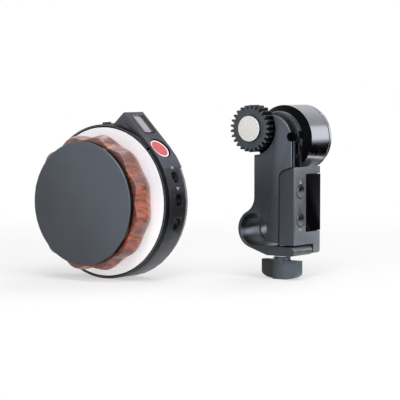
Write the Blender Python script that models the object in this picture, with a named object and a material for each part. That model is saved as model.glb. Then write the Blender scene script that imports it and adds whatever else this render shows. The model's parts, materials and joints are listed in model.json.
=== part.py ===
"""A wireless lens follow focus: a hand wheel controller and a rod-clamp lens motor, standing side by side.

Metres, +Z up. Both units face -Y. The origin is under the middle of the pair, on the surface they stand on.
Each unit has its own axis empty, and its pieces are modelled in that empty's frame: Y runs into the depth.
"""

import math

import bmesh
import bpy
from mathutils import Matrix, Vector

for leftover in list(bpy.data.objects):
    bpy.data.objects.remove(leftover, do_unlink=True)

MM = 0.001

# Clearances that the whole part shares.
SEAT_GAP = 0.3 * MM
OVERRUN = 1.0 * MM
MERGE_DISTANCE = 0.001 * MM

# Facets round a full turn.
LARGE_SEGMENTS = 42
HOOD_RIM_SEGMENTS = 36
DRUM_SEGMENTS = 32
MIDDLE_SEGMENTS = 24
SMALL_SEGMENTS = 16
TINY_SEGMENTS = 8
SCREW_SEGMENTS = 8
CORNER_STEPS = 3
SHARP_ANGLE = math.radians(35)

# Pieces whose chained cuts the exact Boolean solver leaves open.
CLOSED_BY_MANIFOLD = ("wheel_housing", "motor_body", "side_cover", "drum_cap")

# The hand wheel's fixed ring and housing.
RING_RADIUS = 36.8 * MM
RING_LIP = 1.2 * MM
RING_DEPTH = 2.2 * MM
RING_EDGE = 0.4 * MM
RING_FOOT = 0.5 * MM
RING_FOOT_INSET = 0.6 * MM
INDEX_ANGLE = math.radians(44.8)
INDEX_WIDTH = 0.8 * MM
INDEX_DEPTH = 0.5 * MM
HOUSING_FRONT = RING_DEPTH + RING_FOOT + SEAT_GAP
HOUSING_BACK = 15.6 * MM
HOUSING_WALL = 1.8 * MM
HOUSING_FRONT_WALL = 1.6 * MM
CAVITY_RADIUS = RING_RADIUS - HOUSING_WALL
CAVITY_FRONT = HOUSING_FRONT + HOUSING_FRONT_WALL

# The display hood on the housing's rim: a flat facet at 45 degrees that runs up to a ridge.
FACET_ANGLE = math.radians(45)
HOOD_RIDGE_SHARE = 0.258
HOOD_RIDGE_X = RING_RADIUS * HOOD_RIDGE_SHARE
HOOD_RIDGE_Z = (RING_RADIUS - HOOD_RIDGE_X * math.cos(FACET_ANGLE)) / math.sin(FACET_ANGLE)
HOOD_LEFT_FOOT_X = 3.0 * MM
HOOD_BACK = 17.6 * MM
HOOD_BACK_WALL = 1.0 * MM
HOOD_BACK_END = math.radians(27)
HOOD_REAR_LIP = 1.1 * MM
HOOD_SEAM_INSET = 2.4 * MM
HOOD_SEAM_WIDTH = 0.35 * MM
HOOD_SEAM_DEPTH = 0.4 * MM
HOOD_SEAM_FROM = 5.0 * MM
HOOD_SEAM_TO_SHARE = 0.516
HOOD_SEAM_TO = RING_RADIUS * HOOD_SEAM_TO_SHARE

# Keys in the housing's rim, on one line round the rim.
KEY_LINE = 10.1 * MM
KEY_TRAVEL = 0.5 * MM
KEY_RADIUS = 2.6 * MM
KEY_SINK = 0.5 * MM
KEY_CAP_HEIGHT = 1.0 * MM
KEY_DISH = 0.25 * MM
KEY_DISH_EDGE = 0.5 * MM
KEY_STEM_RADIUS = 1.0 * MM
KEY_PAD_RADIUS = 4.2 * MM
KEY_PAD_DEPTH = 3.5 * MM
KEY_PAD_INNER = RING_RADIUS - KEY_PAD_DEPTH
KEY_ANGLES = {"up_button": 19.7, "down_button": 2.4, "set_button": -15.6}
RECORD_ANGLE = math.radians(44.8)
RECORD_LINE = 9.6 * MM
RECORD_RADIUS = 5.3 * MM
RECORD_RIM = 0.7 * MM
RECORD_RIM_HEIGHT = 0.5 * MM
RECORD_SINK = 0.2 * MM
RECORD_CAP_HEIGHT = 1.2 * MM
RECORD_STEM_RADIUS = 1.7 * MM
RECORD_PAD_RADIUS = HOUSING_BACK - RECORD_LINE
RECORD_PAD_DEPTH = 3.7 * MM
RECORD_PAD_INNER = RING_RADIUS - RECORD_PAD_DEPTH
FLEX_INSET = 4.4 * MM
FLEX_OUTER = RING_RADIUS - FLEX_INSET
FLEX_THICKNESS = 0.8 * MM
FLEX_FROM = math.radians(-24)
FLEX_TO = math.radians(28)
FLEX_WIDTH = 8.4 * MM
RIB_WIDTH = 1.4 * MM

# The display window and its board, in the facet.
WINDOW_LENGTH_SHARE = 0.2908
WINDOW_LENGTH = RING_RADIUS * WINDOW_LENGTH_SHARE
WINDOW_WIDTH = 5.8 * MM
WINDOW_ALONG_SHARE = 0.4212
WINDOW_ALONG = RING_RADIUS * WINDOW_ALONG_SHARE
WINDOW_THICKNESS = 1.0 * MM
WINDOW_LEDGE = 1.0 * MM
WINDOW_CORNER = 0.9 * MM
BOARD_THICKNESS = 1.0 * MM
DISPLAY_BOARD_INSET = 4.3 * MM
DISPLAY_BOARD_OUTER = RING_RADIUS - DISPLAY_BOARD_INSET
DISPLAY_BOARD_LENGTH_SHARE = 0.652
DISPLAY_BOARD_LENGTH = RING_RADIUS * DISPLAY_BOARD_LENGTH_SHARE
DISPLAY_BOARD_SHIFT_SHARE = 0.1495
DISPLAY_BOARD_SHIFT = RING_RADIUS * DISPLAY_BOARD_SHIFT_SHARE
DISPLAY_BOARD_WIDTH = 9.0 * MM
DISPLAY_BLOCK_HEIGHT = 2.0 * MM
DISPLAY_BLOCK_MARGIN = 1.2 * MM

# The charging port in the rim, left of the hood, and its rubber flap.
PORT_ANGLE = math.radians(94)
PORT_CENTRE = 9.0 * MM
FLAP_LENGTH = 9.2 * MM
FLAP_WIDTH = 4.2 * MM
FLAP_THICKNESS = 1.2 * MM
FLAP_SINK = 0.9 * MM
FLAP_LIP_HEIGHT = 0.7 * MM
FLAP_LIP_LENGTH = 1.1 * MM
PORT_LENGTH = 7.4 * MM
PORT_WIDTH = 2.6 * MM
PORT_DEPTH = 4.6 * MM
PORT_WALL = 0.4 * MM
PORT_PAD_THICKNESS = 1.2 * MM

# The back cover and its fasteners.
COVER_INSET = 1.4 * MM
COVER_RADIUS = RING_RADIUS - COVER_INSET
COVER_BACK = 19.5 * MM
COVER_SPIGOT = 0.8 * MM
COVER_SPIGOT_WALL = 2.2 * MM
COVER_EDGE = 0.9 * MM
COVER_SKIN = 1.8 * MM
SCREW_CIRCLE_INSET = 9.8 * MM
SCREW_CIRCLE = RING_RADIUS - SCREW_CIRCLE_INSET
COVER_SCREW_ANGLES = [math.radians(turn) for turn in (45, 135, 225, 315)]
COVER_BOSS_RADIUS = 2.5 * MM
COVER_BOSS_BACK = 13.4 * MM
COVER_SCREW_RADIUS = 0.9 * MM
COVER_SCREW_HEAD_RADIUS = 1.8 * MM
COVER_SCREW_HEAD_HEIGHT = 0.9 * MM
COVER_SCREW_LENGTH = 6.7 * MM
HEX_SOCKET_RADIUS = 0.9 * MM
HEX_SOCKET_DEPTH = 0.5 * MM
INSERT_RADIUS = 4.6 * MM
INSERT_BORE = 3.1 * MM
INSERT_DEPTH = 3.2 * MM
INSERT_BOSS_WALL = 1.4 * MM

# What turns: knob cap, lobed wooden grip, marking disc and spindle.
CAP_FRONT = 17.5 * MM
CAP_INSET = 7.6 * MM
CAP_RADIUS = RING_RADIUS - CAP_INSET
CAP_THICKNESS = 2.8 * MM
CAP_EDGE = 0.5 * MM
CAP_SPIGOT_INSET = 5.2 * MM
CAP_SPIGOT_RADIUS = CAP_RADIUS - CAP_SPIGOT_INSET
CAP_SPIGOT_DEPTH = 1.6 * MM
GRIP_INSET = 2.6 * MM
GRIP_PEAK_RADIUS = RING_RADIUS - GRIP_INSET
GRIP_FRONT_DROP = 3.2 * MM
GRIP_FRONT_RADIUS = GRIP_PEAK_RADIUS - GRIP_FRONT_DROP
GRIP_BACK_DROP = 5.3 * MM
GRIP_BACK_RADIUS = GRIP_PEAK_RADIUS - GRIP_BACK_DROP
GRIP_TAPER_POWER = 2.3
GRIP_LOBES = 11
GRIP_LOBE_DEPTH = 2.3 * MM
GRIP_LOBE_TURN = math.radians(15)
GRIP_BACK = 0.6 * MM
GRIP_SEGMENTS = 66
GRIP_BELLY_SHARE = 0.25
GRIP_SECTIONS = 9
DISC_RADIUS = RING_RADIUS - RING_LIP - SEAT_GAP
DISC_FRONT = 0.3 * MM
DISC_THICKNESS = 1.2 * MM
HUB_NOSE_RADIUS = 6.0 * MM
HUB_NOSE_LENGTH = 9.8 * MM
HUB_FLANGE_RADIUS = 12.0 * MM
SPINDLE_RADIUS = 3.6 * MM
SPINDLE_BACK = 10.6 * MM
GRIP_SCREW_RADIUS = 1.5 * MM
GRIP_SCREW_HEAD_RADIUS = 3.4 * MM
GRIP_SCREW_HEAD_HEIGHT = 1.6 * MM
GRIP_SCREW_GRIP = 6.0 * MM
BEARING_RADIUS = 8.0 * MM
BEARING_DEPTH = 4.4 * MM
BEARING_BOSS_WALL = 1.8 * MM
BEARING_GROOVE = 0.5 * MM
BEARING_GROOVE_SHARE = 0.333
CLIP_GROOVE_DEPTH = 0.5 * MM
CLIP_THICKNESS = 0.6 * MM
CLIP_RADIAL = 1.6 * MM
CLIP_MOUTH = 3.2 * MM
MAGNET_RADIUS = 2.4 * MM
MAGNET_THICKNESS = 0.9 * MM

# Inside the hand wheel's housing.
BATTERY_SIDE_GAP = 1.1 * MM
BATTERY_WIDTH = 2 * (SCREW_CIRCLE * math.cos(COVER_SCREW_ANGLES[0]) - COVER_BOSS_RADIUS - BATTERY_SIDE_GAP)
BATTERY_TOP_GAP = 1.65 * MM
BATTERY_TOP = BEARING_RADIUS + BEARING_BOSS_WALL + BATTERY_TOP_GAP
BATTERY_BOTTOM_SHARE = 0.7867
BATTERY_BOTTOM = RING_RADIUS * BATTERY_BOTTOM_SHARE
BATTERY_HEIGHT = BATTERY_BOTTOM - BATTERY_TOP
BATTERY_CENTRE_Z = -(BATTERY_TOP + BATTERY_BOTTOM) / 2
BATTERY_THICKNESS = 6.7 * MM
BATTERY_CORNER = 1.5 * MM
BOARD_EDGE_GAP = 0.5 * MM
MAIN_BOARD_RADIUS = SCREW_CIRCLE - COVER_BOSS_RADIUS - BOARD_EDGE_GAP
CHIP_SIZE = 5.0 * MM
CHIP_HEIGHT = 0.7 * MM

# The motor unit: plate, neck and body, measured from the drum's axis at the plate's front.
UNIT_SPACING_X = 66.8 * MM
UNIT_SPACING_Y = 42.4 * MM
PLATE_LEFT = 9.8 * MM
PLATE_RIGHT = 12.5 * MM
NECK_RADIUS = 11.4 * MM
NECK_DEPTH = 7.5 * MM
NECK_GROOVE_FRONT = 4.5 * MM
NECK_GROOVE_WIDTH = 0.5 * MM
NECK_GROOVE_DEPTH = 0.4 * MM
NECK_GROOVE_FROM = math.radians(10)
NECK_GROOVE_TO = math.radians(140)
COLLAR_FRONT = 5.6 * MM
COLLAR_STEP = 1.0 * MM
COLLAR_FLARE = 1.7 * MM
PLATE_CHAMFER = 0.45 * MM
BODY_DEPTH = 22.9 * MM
BODY_BOTTOM = 49.2 * MM
SEAM_X = 4.4 * MM
SEAM_TOP = 17.2 * MM
SEAM_CORNER_X = 6.4 * MM
SEAM_CORNER_Z = 15.0 * MM
SEAM_RIGHT_Z = 13.0 * MM
EDGE_STEP_WIDTH = 1.0 * MM
EDGE_STEP_DEPTH = 1.5 * MM
NOTCH_X = 11.3 * MM
NOTCH_Z = 1.1 * MM
NOTCH_RADIUS = 2.25 * MM
NOTCH_DEPTH = 3.1 * MM
SOCKET_FRONT = 2.3 * MM
SOCKET_WIDTH = 3.2 * MM
SOCKET_TOP = 1.5 * MM
SOCKET_HEIGHT = 6.0 * MM
SOCKET_DEPTH = 5.0 * MM
SOCKET_SHELL_WALL = 0.4 * MM

# The drum that holds the motor.
DRUM_RADIUS = 15.8 * MM
DRUM_WALL = 1.0 * MM
DRUM_FACE_INSET = 2.7 * MM
DRUM_FACE_RADIUS = DRUM_RADIUS - DRUM_FACE_INSET
DRUM_CONE_DEPTH = 3.6 * MM
DRUM_FACE = NECK_DEPTH + SEAT_GAP
DRUM_FACE_WALL = 1.2 * MM
DRUM_BACK = 29.4 * MM
DRUM_CAP_DEPTH = 2.7 * MM
DRUM_CAP_EDGE = 0.8 * MM
DRUM_CAP_GROOVE = 0.4 * MM
DRUM_CAP_SKIN = 1.4 * MM
DRUM_CAP_SPIGOT = 1.0 * MM
DRUM_SCREW_INSET = 4.8 * MM
DRUM_SCREW_CIRCLE = DRUM_RADIUS - DRUM_SCREW_INSET
DRUM_SCREW_ANGLES = [math.radians(turn) for turn in (90, 210, 330)]
DRUM_SCREW_RADIUS = 0.8 * MM
DRUM_SCREW_HEAD_RADIUS = 1.5 * MM
DRUM_SCREW_HEAD_HEIGHT = 0.7 * MM
DRUM_SCREW_LENGTH = 3.4 * MM

# Gears. The lens gear has the film industry's module; the inner pair is finer.
PRESSURE_ANGLE = math.radians(20)
DEDENDUM_SHARE = 1.25
LENS_MODULE = 0.8 * MM
LENS_TEETH = 26
LENS_GEAR_WIDTH = 7.75 * MM
LENS_GEAR_FRONT = 3.25 * MM
GEAR_RECESS_RADIUS = 12.6 * MM
GEAR_RECESS_DEPTH = 5.3 * MM
DRUM_RADIUS_IN_MODULES = 31.6
INNER_MODULE = DRUM_RADIUS / DRUM_RADIUS_IN_MODULES
PINION_TEETH = 12
TRANSFER_TEETH = 32
INNER_BACKLASH = 0.12 * MM
GEAR_DIRECTION = math.radians(154.8)
GEAR_OFFSET = INNER_MODULE * (PINION_TEETH + TRANSFER_TEETH) / 2
GEAR_X = GEAR_OFFSET * math.cos(GEAR_DIRECTION)
GEAR_Z = GEAR_OFFSET * math.sin(GEAR_DIRECTION)
FLANK_STEPS = 2
INNER_FLANK_STEPS = 1
GEAR_DISC_RADIUS = 6.1 * MM
GEAR_DISC_THICKNESS = 1.6 * MM
GEAR_DISC_PROUD = 0.85 * MM
GEAR_SCREW_HEAD_RADIUS = 2.6 * MM
GEAR_SCREW_HEAD_HEIGHT = 1.2 * MM
GEAR_SCREW_RADIUS = 0.7 * MM
GEAR_SCREW_LENGTH = 3.0 * MM
OUTPUT_RADIUS_IN_MODULES = 3
OUTPUT_RADIUS = INNER_MODULE * OUTPUT_RADIUS_IN_MODULES
OUTPUT_BUSH_WALL = 1.1 * MM
OUTPUT_BUSH_RADIUS = OUTPUT_RADIUS + SEAT_GAP + OUTPUT_BUSH_WALL
OUTPUT_LOBE_WALL = 1.1 * MM
OUTPUT_LOBE_RADIUS = OUTPUT_BUSH_RADIUS + OUTPUT_LOBE_WALL
PINION_FRONT = 12.4 * MM
PINION_WIDTH = 2.8 * MM
TRANSFER_WIDTH = 2.2 * MM
TRANSFER_HUB_RADIUS = 3.4 * MM
TRANSFER_HUB_DEPTH = 1.0 * MM

# The sealed gearhead, the stator and the rotor behind it.
GEARHEAD_FRONT = 16.6 * MM
GEARHEAD_GAP = 0.5 * MM
GEARHEAD_RADIUS = DRUM_RADIUS - DRUM_WALL - GEARHEAD_GAP
GEARHEAD_DEPTH = 2.2 * MM
GEARHEAD_SHAFT_RADIUS = 1.5 * MM
PINION_BUSH_WALL = 0.4 * MM
PINION_BUSH_RADIUS = OUTPUT_RADIUS + SEAT_GAP + PINION_BUSH_WALL
PINION_BUSH_DEPTH = 1.4 * MM
STATOR_DEPTH = 5.6 * MM
ROTOR_SHARE = 0.4684
ROTOR_RADIUS = DRUM_RADIUS * ROTOR_SHARE
ROTOR_GAP = 0.6 * MM
STATOR_BORE = ROTOR_RADIUS + ROTOR_GAP
STATOR_SEGMENTS = 29
STATOR_POLES = 9
STATOR_SLOT_WIDTH = 1.2 * MM
STATOR_SLOT_SHARE = 0.635
STATOR_SLOT_DEPTH = (GEARHEAD_RADIUS - STATOR_BORE) * STATOR_SLOT_SHARE
ROTOR_SHAFT_RADIUS = 1.2 * MM
ROTOR_SHAFT_STUB = 1.0 * MM
ROTOR_BEARING_RADIUS = 3.0 * MM
ROTOR_BEARING_DEPTH = 1.0 * MM

# The side cover with the status window and two keys.
SIDE_RIGHT = 13.0 * MM
SIDE_WALL = 1.5 * MM
SIDE_BOTTOM = 50.2 * MM
SIDE_FOOT_CORNER = 1.5 * MM
FOOT_BOTTOM = 55.0 * MM
SIDE_KEY_LINE = 6.0 * MM
SIDE_KEY_HEIGHTS = {"motor_plus_button": -25.0 * MM, "motor_minus_button": -38.5 * MM}
SIDE_KEY_RADIUS = 3.1 * MM
SIDE_KEY_PROUD = 0.3 * MM
SIDE_KEY_CAP_HEIGHT = 1.2 * MM
SIDE_KEY_DISH = 0.35 * MM
SIDE_PAD_RADIUS = 4.4 * MM
SIDE_PAD_INNER = 10.0 * MM
STATUS_FRONT = 10.9 * MM
STATUS_TOP = 17.0 * MM
STATUS_BOTTOM = 44.0 * MM
STATUS_THICKNESS = 1.2 * MM
STATUS_PROUD = 0.25 * MM
STATUS_MARGIN = 1.6 * MM
MOTOR_BOARD_INNER = 7.0 * MM
MOTOR_BOARD_THICKNESS = 1.2 * MM
STATUS_BLOCK_HEIGHT = 2.4 * MM
STATUS_BLOCK_MARGIN = 2.6 * MM

# The rod clamp for a 15 mm rod, its hinged jaw and its screw.
ROD_BORE_X = 9.9 * MM
ROD_BORE_Z = 43.3 * MM
ROD_BORE_RADIUS = 7.75 * MM
CLAMP_WALL = 1.45 * MM
CLAMP_BLEND_RADIUS = 8.0 * MM
CLAMP_SPLIT_ANGLE = math.radians(140)
JAW_DEPTH = 16.3 * MM
JAW_SPLIT_GAP = 0.9 * MM
JAW_ARM_THICKNESS = 4.4 * MM
JAW_CORNER_X = 2.6 * MM
KNUCKLE_X = 11.0 * MM
PIN_RADIUS = 1.0 * MM
PIN_FRONT = 1.6 * MM
SCREW_X = 1.5 * MM
SCREW_Y = 7.5 * MM
SCREW_RADIUS = 2.0 * MM
SCREW_BITE = 7.0 * MM
SCREW_SLOT_EXTRA = 0.7 * MM
WASHER_RADIUS = 3.8 * MM
WASHER_THICKNESS = 0.5 * MM
KNOB_HEIGHT = 10.35 * MM
KNOB_REACH = 11.0 * MM
KNOB_FACE = 3.5 * MM
KNOB_STEP = 2.5 * MM
KNOB_STEP_X = 3.0 * MM
KNOB_SHOULDER = 1.3 * MM
KNOB_BOSS_RADIUS = 4.2 * MM
KNOB_HEEL_RADIUS = 8.0 * MM
KNOB_HEEL_RISE = 3.2 * MM
SOCKET_BLIND = 4.0 * MM
JAW_BOTTOM = ROD_BORE_Z + ROD_BORE_RADIUS + JAW_ARM_THICKNESS
KNOB_TOP = JAW_BOTTOM + SEAT_GAP + WASHER_THICKNESS + SEAT_GAP
MOTOR_AXIS_HEIGHT = KNOB_TOP + KNOB_HEIGHT

# Where the two units stand, so that the pair's box is centred on the origin.
SET_LEFT = RING_RADIUS
SET_RIGHT = UNIT_SPACING_X + DRUM_RADIUS
SET_FRONT = CAP_FRONT
SET_BACK = UNIT_SPACING_Y + DRUM_BACK
WHEEL_X = -(SET_LEFT + SET_RIGHT) / 2 + SET_LEFT
WHEEL_Y = -(SET_FRONT + SET_BACK) / 2 + SET_FRONT
MOTOR_X = WHEEL_X + UNIT_SPACING_X
MOTOR_Y = WHEEL_Y + UNIT_SPACING_Y

# Finishes: colour, roughness, metallic.
CHARCOAL = ((0.085, 0.090, 0.096), 0.55, 0.2)
BLACK_METAL = ((0.030, 0.031, 0.033), 0.38, 0.6)
GUNMETAL = ((0.080, 0.088, 0.096), 0.42, 0.6)
DRUM_METAL = ((0.115, 0.112, 0.125), 0.28, 0.85)
SILVER = ((0.700, 0.700, 0.710), 0.32, 0.9)
STEEL = ((0.560, 0.560, 0.570), 0.30, 1.0)
BRONZE = ((0.560, 0.380, 0.180), 0.35, 1.0)
COPPER = ((0.600, 0.260, 0.120), 0.40, 0.9)
ROSEWOOD = ((0.260, 0.070, 0.035), 0.22, 0.0)
WHITE_PLASTIC = ((0.860, 0.860, 0.860), 0.35, 0.0)
RED_PLASTIC = ((0.600, 0.060, 0.080), 0.35, 0.0)
BLACK_PLASTIC = ((0.020, 0.020, 0.022), 0.40, 0.0)
RUBBER = ((0.018, 0.018, 0.019), 0.70, 0.0)
SMOKED_GLASS = ((0.300, 0.260, 0.300), 0.10, 0.0)
BLACK_GLASS = ((0.010, 0.010, 0.012), 0.08, 0.0)
CIRCUIT_BOARD = ((0.020, 0.120, 0.060), 0.50, 0.0)
CELL_WRAP = ((0.060, 0.150, 0.300), 0.45, 0.0)


def material(name, finish):
    colour, roughness, metallic = finish
    made = bpy.data.materials.new(name + "_finish")
    made.use_nodes = True
    made.diffuse_color = (*colour, 1.0)
    shader = made.node_tree.nodes["Principled BSDF"]
    shader.inputs["Base Color"].default_value = (*colour, 1.0)
    shader.inputs["Roughness"].default_value = roughness
    shader.inputs["Metallic"].default_value = metallic
    return made


def axis_empty(name, parent=None, location=(0, 0, 0), tilt=0.0):
    """A frame to model in. Tilt turns its Z about Y, from straight up towards +X."""
    empty = bpy.data.objects.new(name, None)
    bpy.context.scene.collection.objects.link(empty)
    empty.parent = parent
    empty.location = location
    empty.rotation_euler = (0, tilt, 0)
    return empty


def place(shape, name, parent):
    bmesh.ops.remove_doubles(shape, verts=shape.verts, dist=MERGE_DISTANCE)
    bmesh.ops.recalc_face_normals(shape, faces=shape.faces)
    mesh = bpy.data.meshes.new(name)
    shape.to_mesh(mesh)
    shape.free()
    mesh.shade_smooth()
    mesh.set_sharp_from_angle(angle=SHARP_ANGLE)
    made = bpy.data.objects.new(name, mesh)
    bpy.context.scene.collection.objects.link(made)
    made.parent = parent
    return made


def solid(shape, name, parent, finish):
    made = place(shape, name, parent)
    made.data.materials.append(material(name, finish))
    return made


def combine(target, shape, operation, parent=None):
    """Joins a shape to the target, or takes it away. The Boolean's operand stays as a hidden guide."""
    guide = place(shape, target.name + "_" + operation.lower(), parent or target.parent)
    guide.hide_render = True
    guide.display_type = "WIRE"
    modifier = target.modifiers.new(guide.name, "BOOLEAN")
    modifier.operation = operation
    modifier.solver = "MANIFOLD" if target.name in CLOSED_BY_MANIFOLD else "EXACT"
    modifier.object = guide


def cut(target, shape, parent=None):
    combine(target, shape, "DIFFERENCE", parent)


def join(target, shape, parent=None):
    combine(target, shape, "UNION", parent)


def arc(centre, radius, start, end, steps):
    """Points on a circle in the XZ plane, both ends included."""
    x, z = centre
    turns = [start + (end - start) * step / steps for step in range(steps + 1)]
    return [(x + radius * math.cos(turn), z + radius * math.sin(turn)) for turn in turns]


def circle(centre, radius, segments):
    return arc(centre, radius, 0, math.tau, segments)[:-1]


def rounded_rectangle(centre, width, height, corner):
    x, z = centre
    points = []
    for quarter, (side_x, side_z) in enumerate(((1, 1), (-1, 1), (-1, -1), (1, -1))):
        middle = (x + side_x * (width / 2 - corner), z + side_z * (height / 2 - corner))
        start = quarter * math.pi / 2
        points += arc(middle, corner, start, start + math.pi / 2, CORNER_STEPS)
    return points


def prism(outline, front, back, chamfer=0.0):
    """An outline in the XZ plane carried from one depth to another. A chamfer can run round its front."""
    shape = bmesh.new()
    face = shape.faces.new([shape.verts.new((x, front, z)) for x, z in outline])
    carried = bmesh.ops.extrude_face_region(shape, geom=[face])
    moved = [item for item in carried["geom"] if isinstance(item, bmesh.types.BMVert)]
    bmesh.ops.translate(shape, verts=moved, vec=(0, back - front, 0))
    bmesh.ops.recalc_face_normals(shape, faces=shape.faces)
    if chamfer:
        shape.faces.ensure_lookup_table()
        caps = [item for item in shape.faces if max(v.co.y for v in item.verts) < front + chamfer / 2]
        bmesh.ops.inset_region(shape, faces=caps, thickness=chamfer, depth=0)
        inner = [item for item in shape.faces if len(item.verts) == len(outline)]
        inner = [item for item in inner if max(v.co.y for v in item.verts) < front + chamfer / 2]
        rim = {vert for item in inner for vert in item.verts}
        outer = [vert for vert in shape.verts if vert.co.y < front + chamfer / 2 and vert not in rim]
        bmesh.ops.translate(shape, verts=outer, vec=(0, chamfer, 0))
    return shape


def upright(outline, bottom, top):
    """An outline in the XY plane carried upwards."""
    shape = bmesh.new()
    face = shape.faces.new([shape.verts.new((x, y, bottom)) for x, y in outline])
    carried = bmesh.ops.extrude_face_region(shape, geom=[face])
    moved = [item for item in carried["geom"] if isinstance(item, bmesh.types.BMVert)]
    bmesh.ops.translate(shape, verts=moved, vec=(0, 0, top - bottom))
    return shape


def block(low, high):
    centre = [(first + last) / 2 for first, last in zip(low, high)]
    size = [last - first for first, last in zip(low, high)]
    shape = bmesh.new()
    matrix = Matrix.Translation(centre) @ Matrix.Diagonal((*size, 1))
    bmesh.ops.create_cube(shape, size=1, matrix=matrix)
    return shape


def turned(profile, segments, centre=(0, 0)):
    """Turns a profile of (radius, depth) points about a line along Y. One clear of the axis is closed."""
    shape = bmesh.new()
    x, z = centre
    points = [shape.verts.new((radius, depth, 0)) for radius, depth in profile]
    pairs = list(zip(points, points[1:]))
    if min(radius for radius, depth in profile) > 0:
        pairs.append((points[-1], points[0]))
    edges = [shape.edges.new(pair) for pair in pairs]
    bmesh.ops.spin(
        shape,
        geom=points + edges,
        cent=(0, 0, 0),
        axis=(0, 1, 0),
        angle=math.tau,
        steps=segments,
        use_merge=True,
    )
    bmesh.ops.remove_doubles(shape, verts=shape.verts, dist=MERGE_DISTANCE)
    bmesh.ops.translate(shape, verts=shape.verts, vec=(x, 0, z))
    return shape


def rod(radius, front, back, segments, centre=(0, 0)):
    return turned([(0, front), (radius, front), (radius, back), (0, back)], segments, centre)


def ring(inner, outer, front, back, segments, centre=(0, 0)):
    profile = [(inner, front), (outer, front), (outer, back), (inner, back)]
    return turned(profile, segments, centre)


def raised(shape):
    """Turns a shape made along Y so that its depth runs up Z instead: depth 0 stays at the frame's origin."""
    bmesh.ops.rotate(shape, verts=shape.verts, cent=(0, 0, 0), matrix=Matrix.Rotation(math.pi / 2, 3, "X"))
    return shape


def line_meets_circle(point, direction, radius):
    """The farther point, along the direction, at which a line meets a circle about the origin."""
    along = point[0] * direction[0] + point[1] * direction[1]
    reach = math.sqrt(along**2 - (point[0] ** 2 + point[1] ** 2 - radius**2))
    return (point[0] + (reach - along) * direction[0], point[1] + (reach - along) * direction[1])


def involute_gear(module, teeth, phase, backlash, flank_steps):
    """The outline of an involute spur gear. Phase is the direction of one tooth's middle."""
    pitch = module * teeth / 2
    tip = pitch + module
    root = pitch - DEDENDUM_SHARE * module
    base = pitch * math.cos(PRESSURE_ANGLE)
    start = max(base, root)
    spread = math.tan(PRESSURE_ANGLE) - PRESSURE_ANGLE
    half_tooth = (math.pi * module / 2 - backlash) / (2 * pitch)
    flank = []
    for step in range(flank_steps + 1):
        radius = start + (tip - start) * step / flank_steps
        roll = math.acos(min(1.0, base / radius))
        flank.append((radius, half_tooth + spread - (math.tan(roll) - roll)))
    profile = [(root, flank[0][1])] + flank if root < start else flank
    points = []
    for tooth in range(teeth):
        middle = phase + math.tau * tooth / teeth
        for radius, half in profile:
            points.append((radius * math.cos(middle - half), radius * math.sin(middle - half)))
        for radius, half in reversed(profile):
            points.append((radius * math.cos(middle + half), radius * math.sin(middle + half)))
    return points


def hood_outline(inset=0.0):
    """The rim's circle with the hood's ridge on it, or the same shape drawn in by a wall."""
    radius = RING_RADIUS - inset
    foot = (HOOD_LEFT_FOOT_X, math.sqrt(RING_RADIUS**2 - HOOD_LEFT_FOOT_X**2))
    slope = Vector((HOOD_RIDGE_X - foot[0], HOOD_RIDGE_Z - foot[1])).normalized()
    facet = Vector((-math.sin(FACET_ANGLE), math.cos(FACET_ANGLE)))
    facet_foot = Vector((math.cos(FACET_ANGLE), math.sin(FACET_ANGLE))) * radius
    slope_point = Vector((HOOD_RIDGE_X, HOOD_RIDGE_Z)) + Vector((slope.y, -slope.x)) * inset
    if inset:
        cross = facet.x * slope.y - facet.y * slope.x
        gap = slope_point - facet_foot
        ridge = facet_foot + facet * ((gap.x * slope.y - gap.y * slope.x) / cross)
    else:
        ridge = Vector((HOOD_RIDGE_X, HOOD_RIDGE_Z))
    left = line_meets_circle(slope_point - slope * RING_RADIUS, slope, radius)
    start = math.atan2(left[1], left[0])
    rim = arc((0, 0), radius, start, FACET_ANGLE + math.tau, HOOD_RIM_SEGMENTS)
    return rim + [(ridge.x, ridge.y)]


def hex_head_screw(name, parent, centre, seat, direction, sizes, finish):
    """A cap screw with a hexagon socket. Its head lies outwards of the seat, its shank runs the other way."""
    head_radius, head_height, shank_radius, length = sizes
    profile = [
        (0, seat + direction * (head_height - HEX_SOCKET_DEPTH)),
        (HEX_SOCKET_RADIUS, seat + direction * (head_height - HEX_SOCKET_DEPTH)),
        (HEX_SOCKET_RADIUS, seat + direction * head_height),
        (head_radius, seat + direction * head_height),
        (head_radius, seat),
        (shank_radius, seat),
        (shank_radius, seat - direction * length),
        (0, seat - direction * length),
    ]
    return solid(turned(profile, SCREW_SEGMENTS, centre), name, parent, finish)


def polar(radius, angle):
    return (radius * math.cos(angle), radius * math.sin(angle))


def housing(wheel):
    body = solid(prism(hood_outline(), HOUSING_FRONT, HOOD_BACK), "wheel_housing", wheel, BLACK_METAL)
    cut_hood_back(body)
    cut(body, prism(hood_outline(HOUSING_WALL), CAVITY_FRONT, HOOD_BACK - HOOD_BACK_WALL))
    add_bearing_boss(body)
    for angle in COVER_SCREW_ANGLES:
        centre = polar(SCREW_CIRCLE, angle)
        join(body, rod(COVER_BOSS_RADIUS, HOUSING_FRONT + SEAT_GAP, COVER_BOSS_BACK, TINY_SEGMENTS, centre))
        hole = COVER_SCREW_RADIUS + SEAT_GAP
        cut(body, rod(hole, CAVITY_FRONT, COVER_BOSS_BACK + OVERRUN, TINY_SEGMENTS, centre))
    return body


def cut_hood_back(body):
    """The hood is deeper than the rest of the rim. Behind the rim, only the hood's own shell stays."""
    left = hood_outline()[0]
    left_turn = math.atan2(left[1], left[0])
    inner = arc((0, 0), RING_RADIUS - HOOD_REAR_LIP, HOOD_BACK_END, left_turn, MIDDLE_SEGMENTS // 2)
    outer = arc((0, 0), 2 * RING_RADIUS, left_turn, HOOD_BACK_END + math.tau, MIDDLE_SEGMENTS)
    cut(body, prism(inner + outer, HOUSING_BACK, HOOD_BACK + OVERRUN))


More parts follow.
